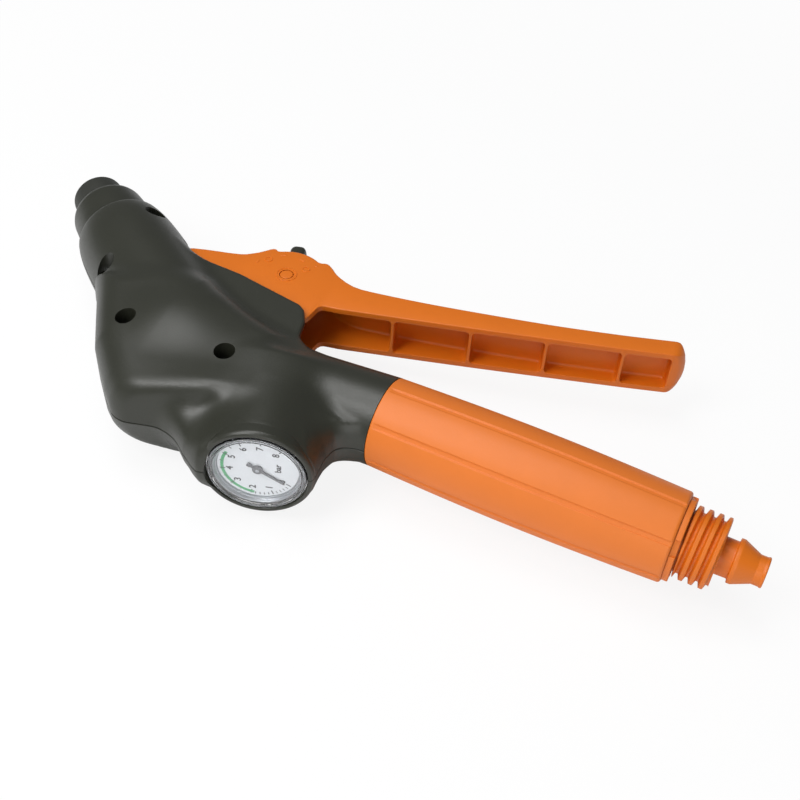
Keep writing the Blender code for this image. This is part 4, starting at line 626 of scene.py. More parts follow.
def housing_grid(step):
    """Grid of points on the upper half of the housing.

    Row u is a place on the spine and column v an angle t round it. The point is where the ray
    origin(u) + r * (cos t * plan(u) + sin t * up) leaves the form. Rows are spaced by the
    longest step that any of six lines on the surface takes, and the columns gather at the
    edge of the wing.
    """
    dense = np.linspace(0.0, 1.0, 900)
    origin, near, far = spine(dense)
    travel = np.zeros(len(dense) - 1)
    for plan, angle in ((near, 2), (near, 40), (near, 88), (far, 45), (far, 2), (far, 20)):
        t = math.radians(angle)
        rays = math.cos(t) * plan + math.sin(t) * UP
        skin = origin + march(housing_form, origin, rays)[:, None] * rays
        travel = np.maximum(travel, np.linalg.norm(np.diff(skin, axis=0), axis=1))
    along = np.concatenate([[0.0], np.cumsum(travel)])
    count = int(along[-1] / step)
    lip = RIM_EDGE * (1 - np.cos(np.radians(np.linspace(0, 80, 7))))
    places = np.concatenate([lip, np.linspace(1.4 * RIM_EDGE, along[-1], count + 1)])
    rows = np.interp(places, along, dense)
    origin, near, far = spine(rows)
    wing = march(lambda p: np.maximum(plan_distance(p, WING_OUTLINE), -0.02), origin, near)
    body = march(housing_form, origin, near)
    edge = np.arctan2(WING_TOP - 0.5 * MM, np.maximum(np.minimum(wing, body), 20 * MM) - 0.5 * MM)
    width = 1.3 * MM / np.hypot(wing, WING_TOP)
    low = np.linspace(0.0, 1.0, 13)[1:-1]
    high = np.linspace(0.0, 1.0, 37)[1:]
    around = np.linspace(-1.0, 1.0, 9)
    tiny = SEAM_ROW / body
    first = [np.zeros_like(edge)[:, None], tiny[:, None],
             tiny[:, None] + (edge - width - tiny)[:, None] * low,
             edge[:, None] + width[:, None] * around,
             (edge + width)[:, None] + (np.pi / 2 - edge - width)[:, None] * high]
    first = np.concatenate(first, axis=1)
    other = np.linspace(np.pi / 2, 0.0, 48)[1:-1]
    gap = SEAM_ROW / march(housing_form, origin, far)
    second = np.concatenate([np.tile(other, (len(rows), 1)), gap[:, None],
                             np.zeros_like(gap)[:, None]], axis=1)
    second = np.maximum(second, 0.0)
    parts = []
    for plan, t in ((near, first), (far, second)):
        rays = np.cos(t)[..., None] * plan[:, None, :] + np.sin(t)[..., None] * UP
        starts = np.broadcast_to(origin[:, None, :], rays.shape)
        reach = march(housing_form, starts, rays, 5 * MM, 90)
        reach = np.where(t <= 0.0, reach - 0.3 * MM, reach)
        parts.append(starts + reach[..., None] * rays)
    skin = np.concatenate([*parts, origin[:, None, :]], axis=1)
    skin[..., 2] = np.maximum(skin[..., 2], PARTING_HALF)
    return skin


def gauge_lip():
    """Rounded mouth of the gauge pocket, half a turn of one closed profile."""
    profile = fillet(mm((-11, 21.9), (-6, 22.9), (-1.5, 23.3), (0.0, 22.3), (0.0, 20.85),
                        (-11, 20.75)), [0, 3, 2.2, 1.6, 0.6, 0], steps=6, closed=True)
    dip = math.degrees(PARTING_HALF / GAUGE_RADIUS)
    return lathe(profile, GAUGE_FACE, GAUGE_AXIS, arc=(dip, 180.0 - dip))


COUNTERBORES = mm((-67.1, -17.0), (-115.7, -18.3), (-150.3, 12.6), (-151.2, 53.2))
VALVE_ROOM = mm((-113, -17), (-95, -17), (-95, 12.4), (-113, 12.4))   # cut out behind the slot
VALVE_ROOM_HALF = 10.0 * MM


def counterbore(place):
    """Bore over one housing screw, with a rounded floor."""
    profile = fillet(mm((6.0, 0.0), (6.0, 4.5), (60.0, 4.5), (60.0, 0.0)), [0, 0.6, 0, 0])
    turn = np.radians(np.arange(0, 360, 7.5))
    ring = np.cos(turn)[:, None] * GRIP_AXIS + np.sin(turn)[:, None] * ACROSS
    return tube(np.array((*place, 0.0)) + swept(profile, UP, ring)[1:-1])


class INFLATOR_OT_housing(bpy.types.Operator):
    """Two moulded halves with gauge pocket, lever slot and screw bores"""

    bl_idname = "inflator.housing"
    bl_label = "Housing"

    def execute(self, context):
        skin = housing_grid(sizes().station_step)
        solid = tube(skin)
        slot = prism(SLOT_OUTLINE, -1 * MM, SLOT_HALF)
        valve = prism(VALVE_ROOM, -1 * MM, VALVE_ROOM_HALF)
        pocket = lathe(mm((6, 0.0), (6, 20.75), (-26, 20.75), (-26, 0.0)), GAUGE_FACE, GAUGE_AXIS)
        bores = [counterbore(place) for place in COUNTERBORES]
        upper = make("housing_upper", [solid])
        carve(upper, [slot, pocket, valve, *bores])
        lower = make("housing_lower", [mirrored(solid)])
        carve(lower, [mirrored(slot), pocket, mirrored(valve)])
        nylon = finish("black_glass_filled_nylon")
        dress(upper, nylon, "housing", "black_plastic", "upper_shell")
        dress(lower, nylon, "housing", "black_plastic", "lower_shell")
        for name, shell in (("gauge_mouth_upper", gauge_lip()),
                            ("gauge_mouth_lower", mirrored(gauge_lip()))):
            dress(make(name, [shell]), nylon, "housing", "black_plastic")
        return {"FINISHED"}


# ================================================================= outlet
class INFLATOR_OT_outlet(bpy.types.Operator):
    """Rubber outlet mouth and the collar that holds it"""

    bl_idname = "inflator.outlet"
    bl_label = "Outlet"

    def execute(self, context):
        mouth = fillet(mm((7, 5.2), (7, 8.2), (0, 8.2), (0, 12.5), (15.7, 12.5), (15.7, 10.5),
                          (21.7, 10.5), (21.7, 5.2)), [0, 0.4, 0.7, 1.5, 0.2, 0, 0, 0],
                       closed=True)
        collar = fillet(mm((15.85, 10.7), (15.85, 15.8), (16.4, 17.2), (18.6, 17.9), (36.75, 19.3),
                           (36.75, 17.8), (41.3, 17.8), (41.3, 5.3), (21.9, 5.3), (21.9, 10.7)),
                        [0, 0.5, 1.4, 3.0, 0.4, 0, 0, 0, 0, 0], steps=5, closed=True)
        dress(make("outlet_mouth", [lathe(mouth, OUTLET, -BARREL_AXIS)]),
              finish("black_nitrile_rubber"), "housing", "rubber", "nose_tip")
        dress(make("outlet_collar", [lathe(collar, OUTLET, -BARREL_AXIS)]),
              finish("black_glass_filled_nylon"), "housing", "black_plastic", "nose_collar")
        return {"FINISHED"}


# ================================================================= grip and hose end
GRIP_LENGTH = 126.9 * MM
GRIP_START = 0.15 * MM
GRIP_END_RADIUS = 18.8 * MM
GRIP_SWELL = 1.3 * MM
THREAD_RADIUS = 15.0 * MM
THREAD_PITCH = 4.0 * MM
THREAD_START = GRIP_START + GRIP_LENGTH + 3.1 * MM
THREAD_END = THREAD_START + 14.2 * MM


def round_grip(angles):
    """Directions round the grip's axis: cos t * up + sin t * across."""
    return np.cos(angles)[:, None] * UP + np.sin(angles)[:, None] * ACROSS


def grip_shell():
    """Grip skin: radius = taper(x) + swell * sin(pi x / length) - depth * groove(t) * fade(x)."""
    grooves = sizes().grip_grooves
    pitch = 2 * np.pi / grooves
    side = np.array((0.4, 0.8, 0.98, 1.12, 1.3, 1.55))
    edge = np.concatenate([-side[::-1], [0.0], side]) * MM / SEAM_RADIUS
    land = np.linspace(edge[-1], pitch - edge[-1], 10)[1:-1]
    offsets = np.concatenate([edge, land])
    angles = (np.arange(grooves)[:, None] * pitch + offsets).ravel()
    shape = np.clip((1.22 * MM / SEAM_RADIUS - np.abs(offsets)) / (0.34 * MM / SEAM_RADIUS), 0, 1)
    groove = np.tile(shape * shape * (3 - 2 * shape), grooves)
    near = np.array((0.0, 0.12, 0.3, 0.6, 1.0, 1.6, 2.4, 3.4)) * MM
    far = np.array((3.0, 2.2, 1.6, 1.3, 1.0, 0.7, 0.4, 0.15, 0.0)) * MM
    x = np.concatenate([near, np.linspace(6 * MM, GRIP_LENGTH - 5 * MM, 40), GRIP_LENGTH - far])
    share = x / GRIP_LENGTH
    radius = SEAM_RADIUS + (GRIP_END_RADIUS - SEAM_RADIUS) * share
    radius += GRIP_SWELL * np.sin(np.pi * share)
    radius -= np.maximum(0.0, 0.3 * MM - x)
    tail = np.clip((x - (GRIP_LENGTH - 1.3 * MM)) / (1.3 * MM), 0, 1)
    radius -= 1.2 * MM * (1 - np.sqrt(1 - np.minimum(tail, 0.999) ** 2))
    fade = np.clip((x - 1.0 * MM) / (2.2 * MM), 0, 1)
    skin = radius[:, None] - sizes().groove_depth * groove[None, :] * (fade * (1 - tail))[:, None]
    ring = round_grip(angles)
    outer = (GRIP_START + x)[:, None, None] * GRIP_AXIS + skin[..., None] * ring
    bore = mm((126.9, 13.0), (122.1, 13.0), (122.1, 16.6), (0.0, 16.6)) + (GRIP_START, 0.0)
    return ringed(np.concatenate([outer, swept(bore, GRIP_AXIS, ring)]))


def clip_ring_shell():
    """Ring behind the thread: its rim is let down inside four windows spaced round it."""
    wall = math.radians(0.35)
    half = 3.4 / 17.3
    starts = [math.radians(34) + k * np.pi / 2 for k in range(4)]
    angles, sunk = [], []
    for centre in starts:
        angles += [centre - half - wall, centre - half, centre, centre + half, centre + half + wall]
        sunk += [0, 1, 1, 1, 0]
        angles += list(centre + half + wall + (np.pi / 2 - 2 * half - 2 * wall)
                       * np.arange(1, 12) / 12)
        sunk += [0] * 11
    angles, sunk = np.array(angles), np.array(sunk, dtype=float)
    profile = fillet(mm((0.15, 13.0), (2.5, 13.0), (2.5, 17.3), (0.15, 17.3)),
                     [0, 0.3, 0.4, 0], closed=True)
    rim = (profile[:, 1] > 16.2 * MM) & (profile[:, 0] > 1.0 * MM)
    radius = profile[:, 1][None, :] - 1.2 * MM * sunk[:, None] * rim[None, :]
    x = GRIP_START + GRIP_LENGTH + profile[:, 0]
    return ringed(x[None, :, None] * GRIP_AXIS + radius[..., None] * round_grip(angles)[:, None, :])


def thread_shell():
    """Thread and nipple: radius = root + depth * crest(phase), phase = x / pitch - t / turn.

    crest is a trapezoid with softened corners. The turned nipple follows the thread along x.
    """
    depth, root = sizes().thread_depth, THREAD_RADIUS - sizes().thread_depth
    turn = np.radians(np.arange(0, 360, 3.0))
    x = np.linspace(THREAD_START, THREAD_END, 120)
    phase = (x[:, None] - THREAD_START) / THREAD_PITCH - turn[None, :] / (2 * np.pi) + 0.25
    near = np.abs((phase % 1.0) - 0.5) * 2.0
    crest = np.clip((0.78 - near) / 0.42, 0.0, 1.0)
    crest = crest - 0.12 * np.sin(2 * np.pi * crest) / np.pi
    ends = np.minimum(np.clip((x - THREAD_START) / (0.3 * MM), 0, 1),
                      np.clip((THREAD_END - x) / (0.3 * MM), 0, 1))
    radius = root + depth * crest * (0.6 + 0.4 * ends[:, None])
    ring = round_grip(turn)
    threaded = x[:, None, None] * GRIP_AXIS + radius[..., None] * ring
    end = THREAD_END / MM
    profile = fillet(mm((end, 7.7), (end + 5.2, 7.6), (end + 5.2, 9.15), (end + 6.9, 9.15),
                        (end + 14.0, 6.0), (end + 16.7, 6.0), (end + 17.5, 6.35),
                        (end + 18.0, 6.0), (end + 18.0, 4.0), (end + 1.0, 4.0),
                        (end + 1.0, 0.0)),
                     [0, 0.5, 0.4, 1.0, 0.9, 0.8, 0.4, 0.3, 0.4, 0, 0], steps=5)
    back = mm((GRIP_LENGTH / MM - 5.0, 0.0), (GRIP_LENGTH / MM - 5.0, 12.6),
              (THREAD_START / MM, 12.6))
    stub, nipple = swept(back, GRIP_AXIS, ring), swept(profile, GRIP_AXIS, ring)
    return tube(np.concatenate([stub, threaded, nipple]), False)


class INFLATOR_OT_grip(bpy.types.Operator):
    """Grooved grip, its clip ring, and the threaded hose nipple"""

    bl_idname = "inflator.grip"
    bl_label = "Grip and hose end"

    def execute(self, context):
        soft = finish("orange_moulded_polypropylene")
        hard = finish("orange_moulded_acetal")
        dress(make("grip_skin", [grip_shell()], 50), soft, "housing", "grip_plastic",
              "grip_sleeve")
        dress(make("grip_clip_ring", [clip_ring_shell()]), soft, "housing", "grip_plastic",
              "grip_end_ring")
        dress(make("hose_nipple", [thread_shell()], 50), hard, "housing", "lever_plastic",
              "hose_connector")
        return {"FINISHED"}


# ================================================================= gauge
DIAL_DEPTH = 3.9 * MM
ZERO_ANGLE = -33.0               # where the scale begins, in degrees round the gauge's axis
BAR_ANGLE = -34.75               # one bar of pressure


def on_dial(points):
    """Place flat points (x, y, height above the dial) on the gauge's axis."""
    side, up = axes_of(GAUGE_AXIS)
    points = np.asarray(points)
    base = gauge_point(DIAL_DEPTH)
    return (base + points[..., 0:1] * side + points[..., 1:2] * up
            + points[..., 2:3] * GAUGE_AXIS)


def scale_angle(value):
    """Angle of a pressure round the gauge's axis, in radians: zero + value * bar."""
    return math.radians(ZERO_ANGLE + BAR_ANGLE * value)


def sector(start, end, inner, outer, steps):
    """Printed arc between two values of the scale, 0.05 mm thick."""
    turn = np.linspace(scale_angle(start), scale_angle(end), steps + 1)
    rows = []
    for radius, height in ((inner, 0.0), (inner, 0.05), (outer, 0.05), (outer, 0.0)):
        rows.append(np.stack([radius * MM * np.cos(turn), radius * MM * np.sin(turn),
                              np.full_like(turn, height * MM)], axis=-1))
    return tube(on_dial(np.stack(rows, axis=1)))


def tick(value, inner, outer, width):
    """Printed stroke along a radius."""
    half = width / 2 / outer * 180 / np.pi / BAR_ANGLE
    return sector(value - half, value + half, inner, outer, 1)


def lettering(name, text, height, place, material):
    """Number or unit, upright towards the dial's own top, which lies along -X of the gauge."""
    curve = bpy.data.curves.new(name, "FONT")
    curve.body = text
    curve.size = height / 0.72
    curve.align_x = "CENTER"
    curve.align_y = "CENTER"
    curve.extrude = 0.02 * MM
    curve.offset = 0.09 * MM
    curve.resolution_u = 3
    letter = bpy.data.objects.new(name, curve)
    bpy.context.scene.collection.objects.link(letter)
    graph = bpy.context.evaluated_depsgraph_get()
    graph.update()
    mesh = bpy.data.meshes.new_from_object(letter.evaluated_get(graph))
    bpy.data.objects.remove(letter)
    flat = np.empty(len(mesh.vertices) * 3)
    mesh.vertices.foreach_get("co", flat)
    flat = flat.reshape(-1, 3)
    upright = np.stack([place[0] - flat[:, 1], place[1] + flat[:, 0],
                        flat[:, 2] + 0.03 * MM], axis=-1)
    mesh.vertices.foreach_set("co", (on_dial(upright) + ORIGIN).ravel())
    piece = bpy.data.objects.new(name, mesh)
    bpy.context.scene.collection.objects.link(piece)
    return dress(piece, material, "housing", "rubber")


class INFLATOR_OT_gauge(bpy.types.Operator):
    """Pressure gauge: case, clear cover, dial and its print"""

    bl_idname = "inflator.gauge"
    bl_label = "Gauge"

    def execute(self, context):
        case = fillet(mm((-24, 4.6), (-24, 19.8), (-5.8, 19.8), (-5.8, 18.3), (-1.6, 18.3),
                         (-1.6, 17.6), (-3.0, 17.2), (-3.0, 16.8), (-4.8, 16.7), (-4.8, 15.6),
                         (-22.6, 15.6), (-22.6, 4.6)),
                      [0, 0.8, 0, 0, 0.15, 0.15, 0.1, 0.1, 0, 0, 0, 0], closed=True)
        cover = fillet(mm((-1.1, 0.0), (-1.1, 18.5), (-5.6, 18.5), (-5.6, 20.6), (-1.2, 20.6),
                          (-0.2, 20.1), (-0.2, 19.6), (-0.6, 19.5), (-0.6, 19.2), (0.0, 19.1),
                          (0.0, 18.5), (-0.4, 18.4), (-0.4, 18.1), (0.0, 18.0), (0.0, 0.0)),
                       [0, 0.5, 0, 0.3, 0.5, 0.3, 0.1, 0.1, 0.1, 0.15, 0.15, 0.1, 0.1, 0.15, 0])
        dial = mm((-4.7, 1.2), (-4.7, 16.6), (-3.9, 16.6), (-3.9, 1.2))
        dress(make("gauge_cup", [lathe(case, GAUGE_FACE, GAUGE_AXIS)]),
              finish("brushed_gauge_steel"), "housing", "steel", "gauge_case")
        dress(make("gauge_cover", [lathe(cover, GAUGE_FACE, GAUGE_AXIS)]),
              finish("clear_moulded_acrylic"), "housing", "clear_plastic", "gauge_lens")
        dress(make("gauge_plate", [lathe(dial, GAUGE_FACE, GAUGE_AXIS)]),
              finish("white_dial_enamel"), "housing", "dial_white", "gauge_dial")
        black, green = finish("black_dial_print"), finish("green_dial_print")
        strokes = [tick(v, 13.5, 15.7, 0.5) for v in range(9)]
        strokes += [tick(v / 5, 14.4, 15.7, 0.36) for v in range(1, 10) if v % 5]
        strokes += [tick(v + 0.5, 14.3, 15.7, 0.36) for v in range(2, 8)]
        dress(make("scale_strokes", strokes), black, "housing", "rubber")
        zone = [sector(1.86, 5.14, 14.0, 15.3, 60)]
        dress(make("scale_zone", zone), green, "housing", "dial_white")
        for value in range(9):
            angle, radius = scale_angle(value), 11.6 * MM
            lettering("scale_number_%d" % value, str(value), sizes().numeral_height,
                      (radius * math.cos(angle), radius * math.sin(angle)), black)
        lettering("scale_unit", "bar", 2.6 * MM, (8.3 * MM, 1.2 * MM), black)
        return {"FINISHED"}


class INFLATOR_OT_pointer(bpy.types.Operator):
    """Needle of the gauge, with hub and cap"""

    bl_idname = "inflator.pointer"
    bl_label = "Pointer"

    def execute(self, context):
        tail, tip = -5.0, 12.8
        x = np.array((tail, tail + 0.2, -3.6, -3.0, -1.0, 0.0, 1.0, 3.0, 8.0, tip - 0.9,
                      tip - 0.3, tip))
        half = np.array((0.7, 1.0, 1.0, 0.6, 0.75, 0.8, 0.7, 0.62, 0.56, 0.55, 0.42, 0.12))
        low, high = 0.5, 1.05
        rows = []
        for side, level in ((-1, low), (1, low), (1, high - 0.12), (0.8, high), (-0.8, high),
                            (-1, high - 0.12)):
            flat = np.stack([x, side * half, np.full_like(x, level)], axis=-1) * MM
            flat[:, :2] = turned(flat[:, :2], math.radians(ZERO_ANGLE))
            rows.append(on_dial(flat))
        blade = tube(np.stack(rows, axis=1))
        hub = fillet(mm((-6.0, 0.0), (-6.0, 0.9), (0.45, 0.9), (0.45, 2.2), (1.35, 2.1),
                        (1.6, 1.2), (1.6, 0.0)), [0, 0, 0, 0.1, 0.3, 0.3, 0])
        base = gauge_point(DIAL_DEPTH)
        dress(make("gauge_needle", [blade, lathe(hub, base, GAUGE_AXIS, 48)]),
              finish("grey_anodised_aluminium"), "pointer", "rubber", "gauge_pointer")
        cap = fillet(mm((1.55, 0.0), (1.55, 0.8), (1.75, 0.75), (1.8, 0.0)), [0, 0, 0.1, 0])
        dress(make("needle_cap", [lathe(cap, base, GAUGE_AXIS, 32)]),
              finish("brushed_gauge_steel"), "pointer", "steel")
        return {"FINISHED"}


# ================================================================= lever
FRONT = mm((-44.7, 41.6), (15.3, 60.9), (74.0, 80.6), (98.0, 89.0))
BACK = mm((-49.6, 59.8), (-43.8, 59.2), (-27, 62.4), (-7.3, 67.0), (19, 74.0), (45.3, 81.5),
          (72, 90.2), (96.3, 99.0))
LEVER_RUN = (FRONT[-1] - FRONT[0]) / np.linalg.norm(FRONT[-1] - FRONT[0])
LEVER_SQUARE = np.array((-LEVER_RUN[1], LEVER_RUN[0]))
LEVER_LENGTH = float(np.linalg.norm(FRONT[-1] - FRONT[0]))
RIB_PLACES = np.array((-22.0, 11.5, 43.8, 76.2)) * MM
CHEEK = 2.9 * MM                     # thickness of the side walls
BACK_WALL = 3.0 * MM
RIB_HALF = 0.65 * MM
BAY_LIP = 0.35 * MM                  # rounding at the mouth of a bay
CORNER = 2.0 * MM                    # rounding at the floor of a bay
HUB_RADIUS = 11.0 * MM               # round end of the lever, about its pivot
SHOULDER_RADIUS = 17.7 * MM          # rounded back over the catch, about the catch's pin
SHOULDER_FRONT = 25.0 * MM           # height of the front edge below that back
ROOT_HALF = 12.6 * MM                # half width at the pivot, which falls by TAPER to the tip
TAPER = 1.1 * MM
PIVOT_TO_TIP = 222.2 * MM
CATCH_SLOT_ANGLES = (54.0, 137.0)    # sector cut out for the catch, in degrees about its pin
CATCH_SLOT_RADII = (12.0 * MM, 24.0 * MM)
CATCH_SLOT_HALF = 8.8 * MM
PIN_HOLE_RADIUS = 3.35 * MM
END_WALL = LEVER_LENGTH - 1.6 * MM   # where the last bay stops, along the front edge
TIP_BULGE = 1.9 * MM                 # how far the end face is domed across its width


# Stations of the root in order, as front x, y and back x, y: from the hub to the shoulder,
# the dip in the back before the shoulder, and from the shoulder to the handle.
THROAT_STATIONS = mm((-117, 25.1, -119.5, 48.3), (-111, 25.2, -113.7, 50.2),
                     (-108.5, 23.6, -110, 51.3), (-106.5, 22.4, -108, 52.0),
                     (-104, 22.0, -104, 53.5), (-101.5, 22.4, -101.5, 54.9),
                     (-99.5, 23.6, -99.0, 57.2), (-97.5, 25, -97.2, 59.0))
DIP = mm((-95.2, 61.6), (-93.6, 63.9), (-92.6, 64.9), (-91.4, 65.1), (-90.3, 64.3), (-89.4, 64.5))
HANDLE_STATIONS = mm((-69.2, 25, -69.3, 66.6), (-67.6, 25, -67.9, 66.7), (-66.4, 25, -66.6, 67.4),
                     (-65.2, 25, -65.4, 67.6), (-64.0, 25, -64.1, 67.2),
                     (-61.5, 25.2, -61.5, 65.6), (-59.0, 25.4, -59.4, 63.9),
                     (-57.0, 26, -57.9, 62.9), (-55.6, 27.2, -56.8, 62.3),
                     (-54.7, 29.2, -55.9, 61.9), (-54.3, 32, -55.1, 61.5),
                     (-54.2, 35, -54.3, 61.2), (-54.0, 37.2, -53.6, 61.0),
                     (-53.3, 38.9, -52.9, 60.7), (-52.0, 39.8, -52.1, 60.4),
                     (-50.2, 40.3, -51.5, 60.2), (-47.6, 40.9, -50.9, 60.05),
                     (-45.6, 41.35, -50.5, 59.95))
TIP_STATIONS = mm((98.7, 89.4, 96.4, 99.0), (99.4, 90.0, 97.6, 99.1), (99.9, 90.8, 98.4, 98.7),
                  (100.3, 91.8, 99.1, 97.9), (100.6, 92.9, 99.9, 96.5), (100.75, 93.9, 100.6, 95.1))
# How much narrower than the rest the first and the last stations are.
ROOT_NARROWING = np.array((2.5, 1.4, 0.8, 0.4, 0.15, 0.0)) * MM
TIP_NARROWING = np.array((0.05, 0.3, 0.75, 1.3, 2.1, 3.0)) * MM


def smooth_curve(points, count):
    """Points at even shares of a smooth curve through given points (Catmull-Rom)."""
    padded = np.vstack([2 * points[0] - points[1], points, 2 * points[-1] - points[-2]])
    place = np.linspace(0, len(points) - 1 - 1e-9, count)
    k = place.astype(int)
    t = (place - k)[:, None]
    a, b, c, d = (padded[k + shift] for shift in range(4))
    return 0.5 * (2 * b + (c - a) * t + (2 * a - 5 * b + 4 * c - d) * t ** 2
                  + (3 * b - a - 3 * c + d) * t ** 3)


def handle_edge(points, along):
    """Height of a plan curve over the lever's chord, at distances along that chord."""
    curve = smooth_curve(points, 200) - FRONT[0]
    return np.interp(along, curve @ LEVER_RUN, curve @ LEVER_SQUARE)


def corner_inset(distance, radius):
    """How far a rounded corner stands in: radius - sqrt(radius^2 - (radius - distance)^2)."""
    short = np.clip(radius - distance, 0, radius)
    return radius - np.sqrt(np.maximum(radius ** 2 - short ** 2, 0))


def bay_depth(distance, depth):
    """Depth of a bay at a distance from its wall, with rounded mouth and floor."""
    return np.where(distance <= 0.0, corner_inset(-distance, BAY_LIP),
                    depth - corner_inset(distance, CORNER))


def lever_stations():
    """Pairs of front and back plan points of the root, the handle and the tip.

    With them come the handle's places along the front edge and those of the ribs.
    """
    hub = np.stack([plan_arc(LEVER_PIVOT, HUB_RADIUS, (185, 200, 215, 230, 250, 270)),
                    plan_arc(LEVER_PIVOT, HUB_RADIUS, (178, 164, 150, 136, 122, 112))], axis=1)
    back = np.concatenate([DIP, plan_arc(CATCH_PIVOT, SHOULDER_RADIUS, np.linspace(127, 64, 12))])
    front = np.c_[back[:, 0], np.full(len(back), SHOULDER_FRONT)]
    root = np.concatenate([hub, THROAT_STATIONS.reshape(-1, 2, 2), np.stack([front, back], axis=1),
                           HANDLE_STATIONS.reshape(-1, 2, 2)])
    ribs = (RIB_PLACES - FRONT[0, 0]) / LEVER_RUN[0]
    local = np.concatenate([[-BAY_LIP, -0.7 * BAY_LIP, -0.35 * BAY_LIP, -1e-6, 1e-6],
                            CORNER * (1 - np.cos(np.radians(np.linspace(12, 90, 8))))])
    walls = (ribs[:, None] + np.concatenate([RIB_HALF + local, -RIB_HALF - local, [0.0]])).ravel()
    even = np.arange(3 * MM, LEVER_LENGTH - 0.5 * MM, 4 * MM)
    marks = np.unique(np.round(np.concatenate([walls, END_WALL - local, even]), 9))
    marks = marks[(marks > 0.8 * MM) & (marks < LEVER_LENGTH - 0.4 * MM)]
    chord = FRONT[0] + marks[:, None] * LEVER_RUN
    handle = np.stack([chord + handle_edge(edge, marks)[:, None] * LEVER_SQUARE
                       for edge in (FRONT, BACK)], axis=1)
    return root, handle, TIP_STATIONS.reshape(-1, 2, 2), marks, ribs


def lever_section(depth, half, pocket, wall):
    """Half loops of (d, z) pairs, from the middle of the back to the middle of a bay's floor.

    Depth and half width are the section's, pocket and wall the bay's. The back's edge, the rim,
    the bay's mouth and its floor turn as quarter circles.
    """
    edge = np.minimum(1.1 * MM, 0.2 * depth)
    rim = np.minimum(0.5 * MM, 0.2 * depth)
    lip = np.minimum(BAY_LIP, 0.45 * pocket)
    sole = np.minimum(1.6 * MM, 0.45 * pocket)
    loop = [(depth, 0 * half), (depth, 0.5 * half), (depth, half - edge)]
    bend = np.radians((22.5, 45, 67.5, 90))
    loop += [(depth - edge * (1 - math.cos(b)), half - edge * (1 - math.sin(b))) for b in bend]
    loop += [(0.5 * depth, half), (rim, half)]
    loop += [(rim * (1 - math.sin(b)), half - rim * (1 - math.cos(b))) for b in bend]
    loop += [(0 * depth, wall + lip)]
    loop += [(lip * (1 - math.cos(b)), wall + lip * (1 - math.sin(b))) for b in bend]
    loop += [(pocket - sole, wall)]
    loop += [(pocket - sole * (1 - math.sin(b)), wall - sole * (1 - math.cos(b))) for b in bend]
    loop += [(pocket, 0.5 * (wall - sole)), (pocket, 0 * half)]
    return np.stack([d for d, _ in loop], axis=1), np.stack([z for _, z in loop], axis=1)


def lever_shell():
    """Lever as one closed tube of sections.

    A station has a front point F and a back point B. Its section lies in the plane through F
    and B square to the parting plane: point = F + d * (B - F) / |B - F| + z * up. The loop of
    (d, z) pairs runs over the back, down a cheek, round the rim, down the bay and back the
    other side. The bay's depth and wall follow the distance to a rib, and the end is domed.
    """
    root, handle, tip, marks, ribs = lever_stations()
    pairs = np.concatenate([root, handle, tip])
    along = np.concatenate([np.full(len(root), -1.0), marks, np.full(len(tip), LEVER_LENGTH)])
    depth = np.linalg.norm(pairs[:, 1] - pairs[:, 0], axis=1)
    half = lever_top(pairs[:, 0, 0])
    half[:len(ROOT_NARROWING)] -= ROOT_NARROWING
    half[-len(TIP_NARROWING):] -= TIP_NARROWING
    root_wall = pairs[:, 0, 0] + 94.5 * MM
    to_rib = np.abs(along[:, None] - ribs[None, :]).min(axis=1) - RIB_HALF
    distance = np.where(along < 0, root_wall, np.minimum(to_rib, END_WALL - along))
    full = np.maximum(depth - BACK_WALL, 0.3 * MM)
    pocket = bay_depth(distance, full) + sizes().rib_recess * 0.4
    solid = distance <= 0.0
    pocket = np.where(solid, np.minimum(pocket, BAY_LIP), pocket)
    wall = half - CHEEK - np.where(solid, CORNER, corner_inset(distance, CORNER))
    d, z = lever_section(depth, half, pocket, wall)
    d = np.concatenate([d, d[:, -2:0:-1]], axis=1)
    z = np.concatenate([z, -z[:, -2:0:-1]], axis=1)
    way = (pairs[:, 1] - pairs[:, 0]) / depth[:, None]
    plan = pairs[:, 0][:, None, :] + d[..., None] * way[:, None, :]
    share = np.clip((along - END_WALL) / (LEVER_LENGTH - END_WALL), 0.0, 1.0)[:, None]
    dome = TIP_BULGE * share * (0.5 - (z / half[0:1].max()) ** 2)
    plan = plan + dome[..., None] * LEVER_RUN
    return tube(np.concatenate([plan, z[..., None]], axis=2))


def lever_top(x):
    """Half width across the cheeks at a station along X."""
    return ROOT_HALF - TAPER * (x - LEVER_PIVOT[0]) / PIVOT_TO_TIP


def raised_ring(place, outer, inner, proud=0.22 * MM):
    """Ring that stands a little proud of the cheek."""
    top = lever_top(place[0])
    profile = fillet(np.array(((top - 0.5 * MM, inner), (top + proud, inner),
                               (top + proud, outer), (top - 0.5 * MM, outer))),
                     [0, 0.1, 0.1, 0], closed=True)
    return lathe(profile, np.array((*place, 0.0)), UP, 40)


def raised_bar(place, length, width, angle, proud=0.2 * MM):
    """Short bar with round ends, a little proud of the cheek."""
    top = lever_top(place[0])
    turn = np.radians(np.arange(0, 360, 15.0))
    flat = np.stack([np.cos(turn) * width / 2, np.sin(turn) * width / 2], axis=-1)
    flat[:, 0] += np.sign(np.cos(turn)) * (length - width) / 2
    flat = turned(flat, angle)
    rows = []
    for level, shrink in ((top - 0.5 * MM, 1.0), (top + proud * 0.6, 1.0), (top + proud, 0.8)):
        rows.append(np.c_[place + flat * shrink, np.full(len(flat), level)])
    return tube(np.stack(rows))


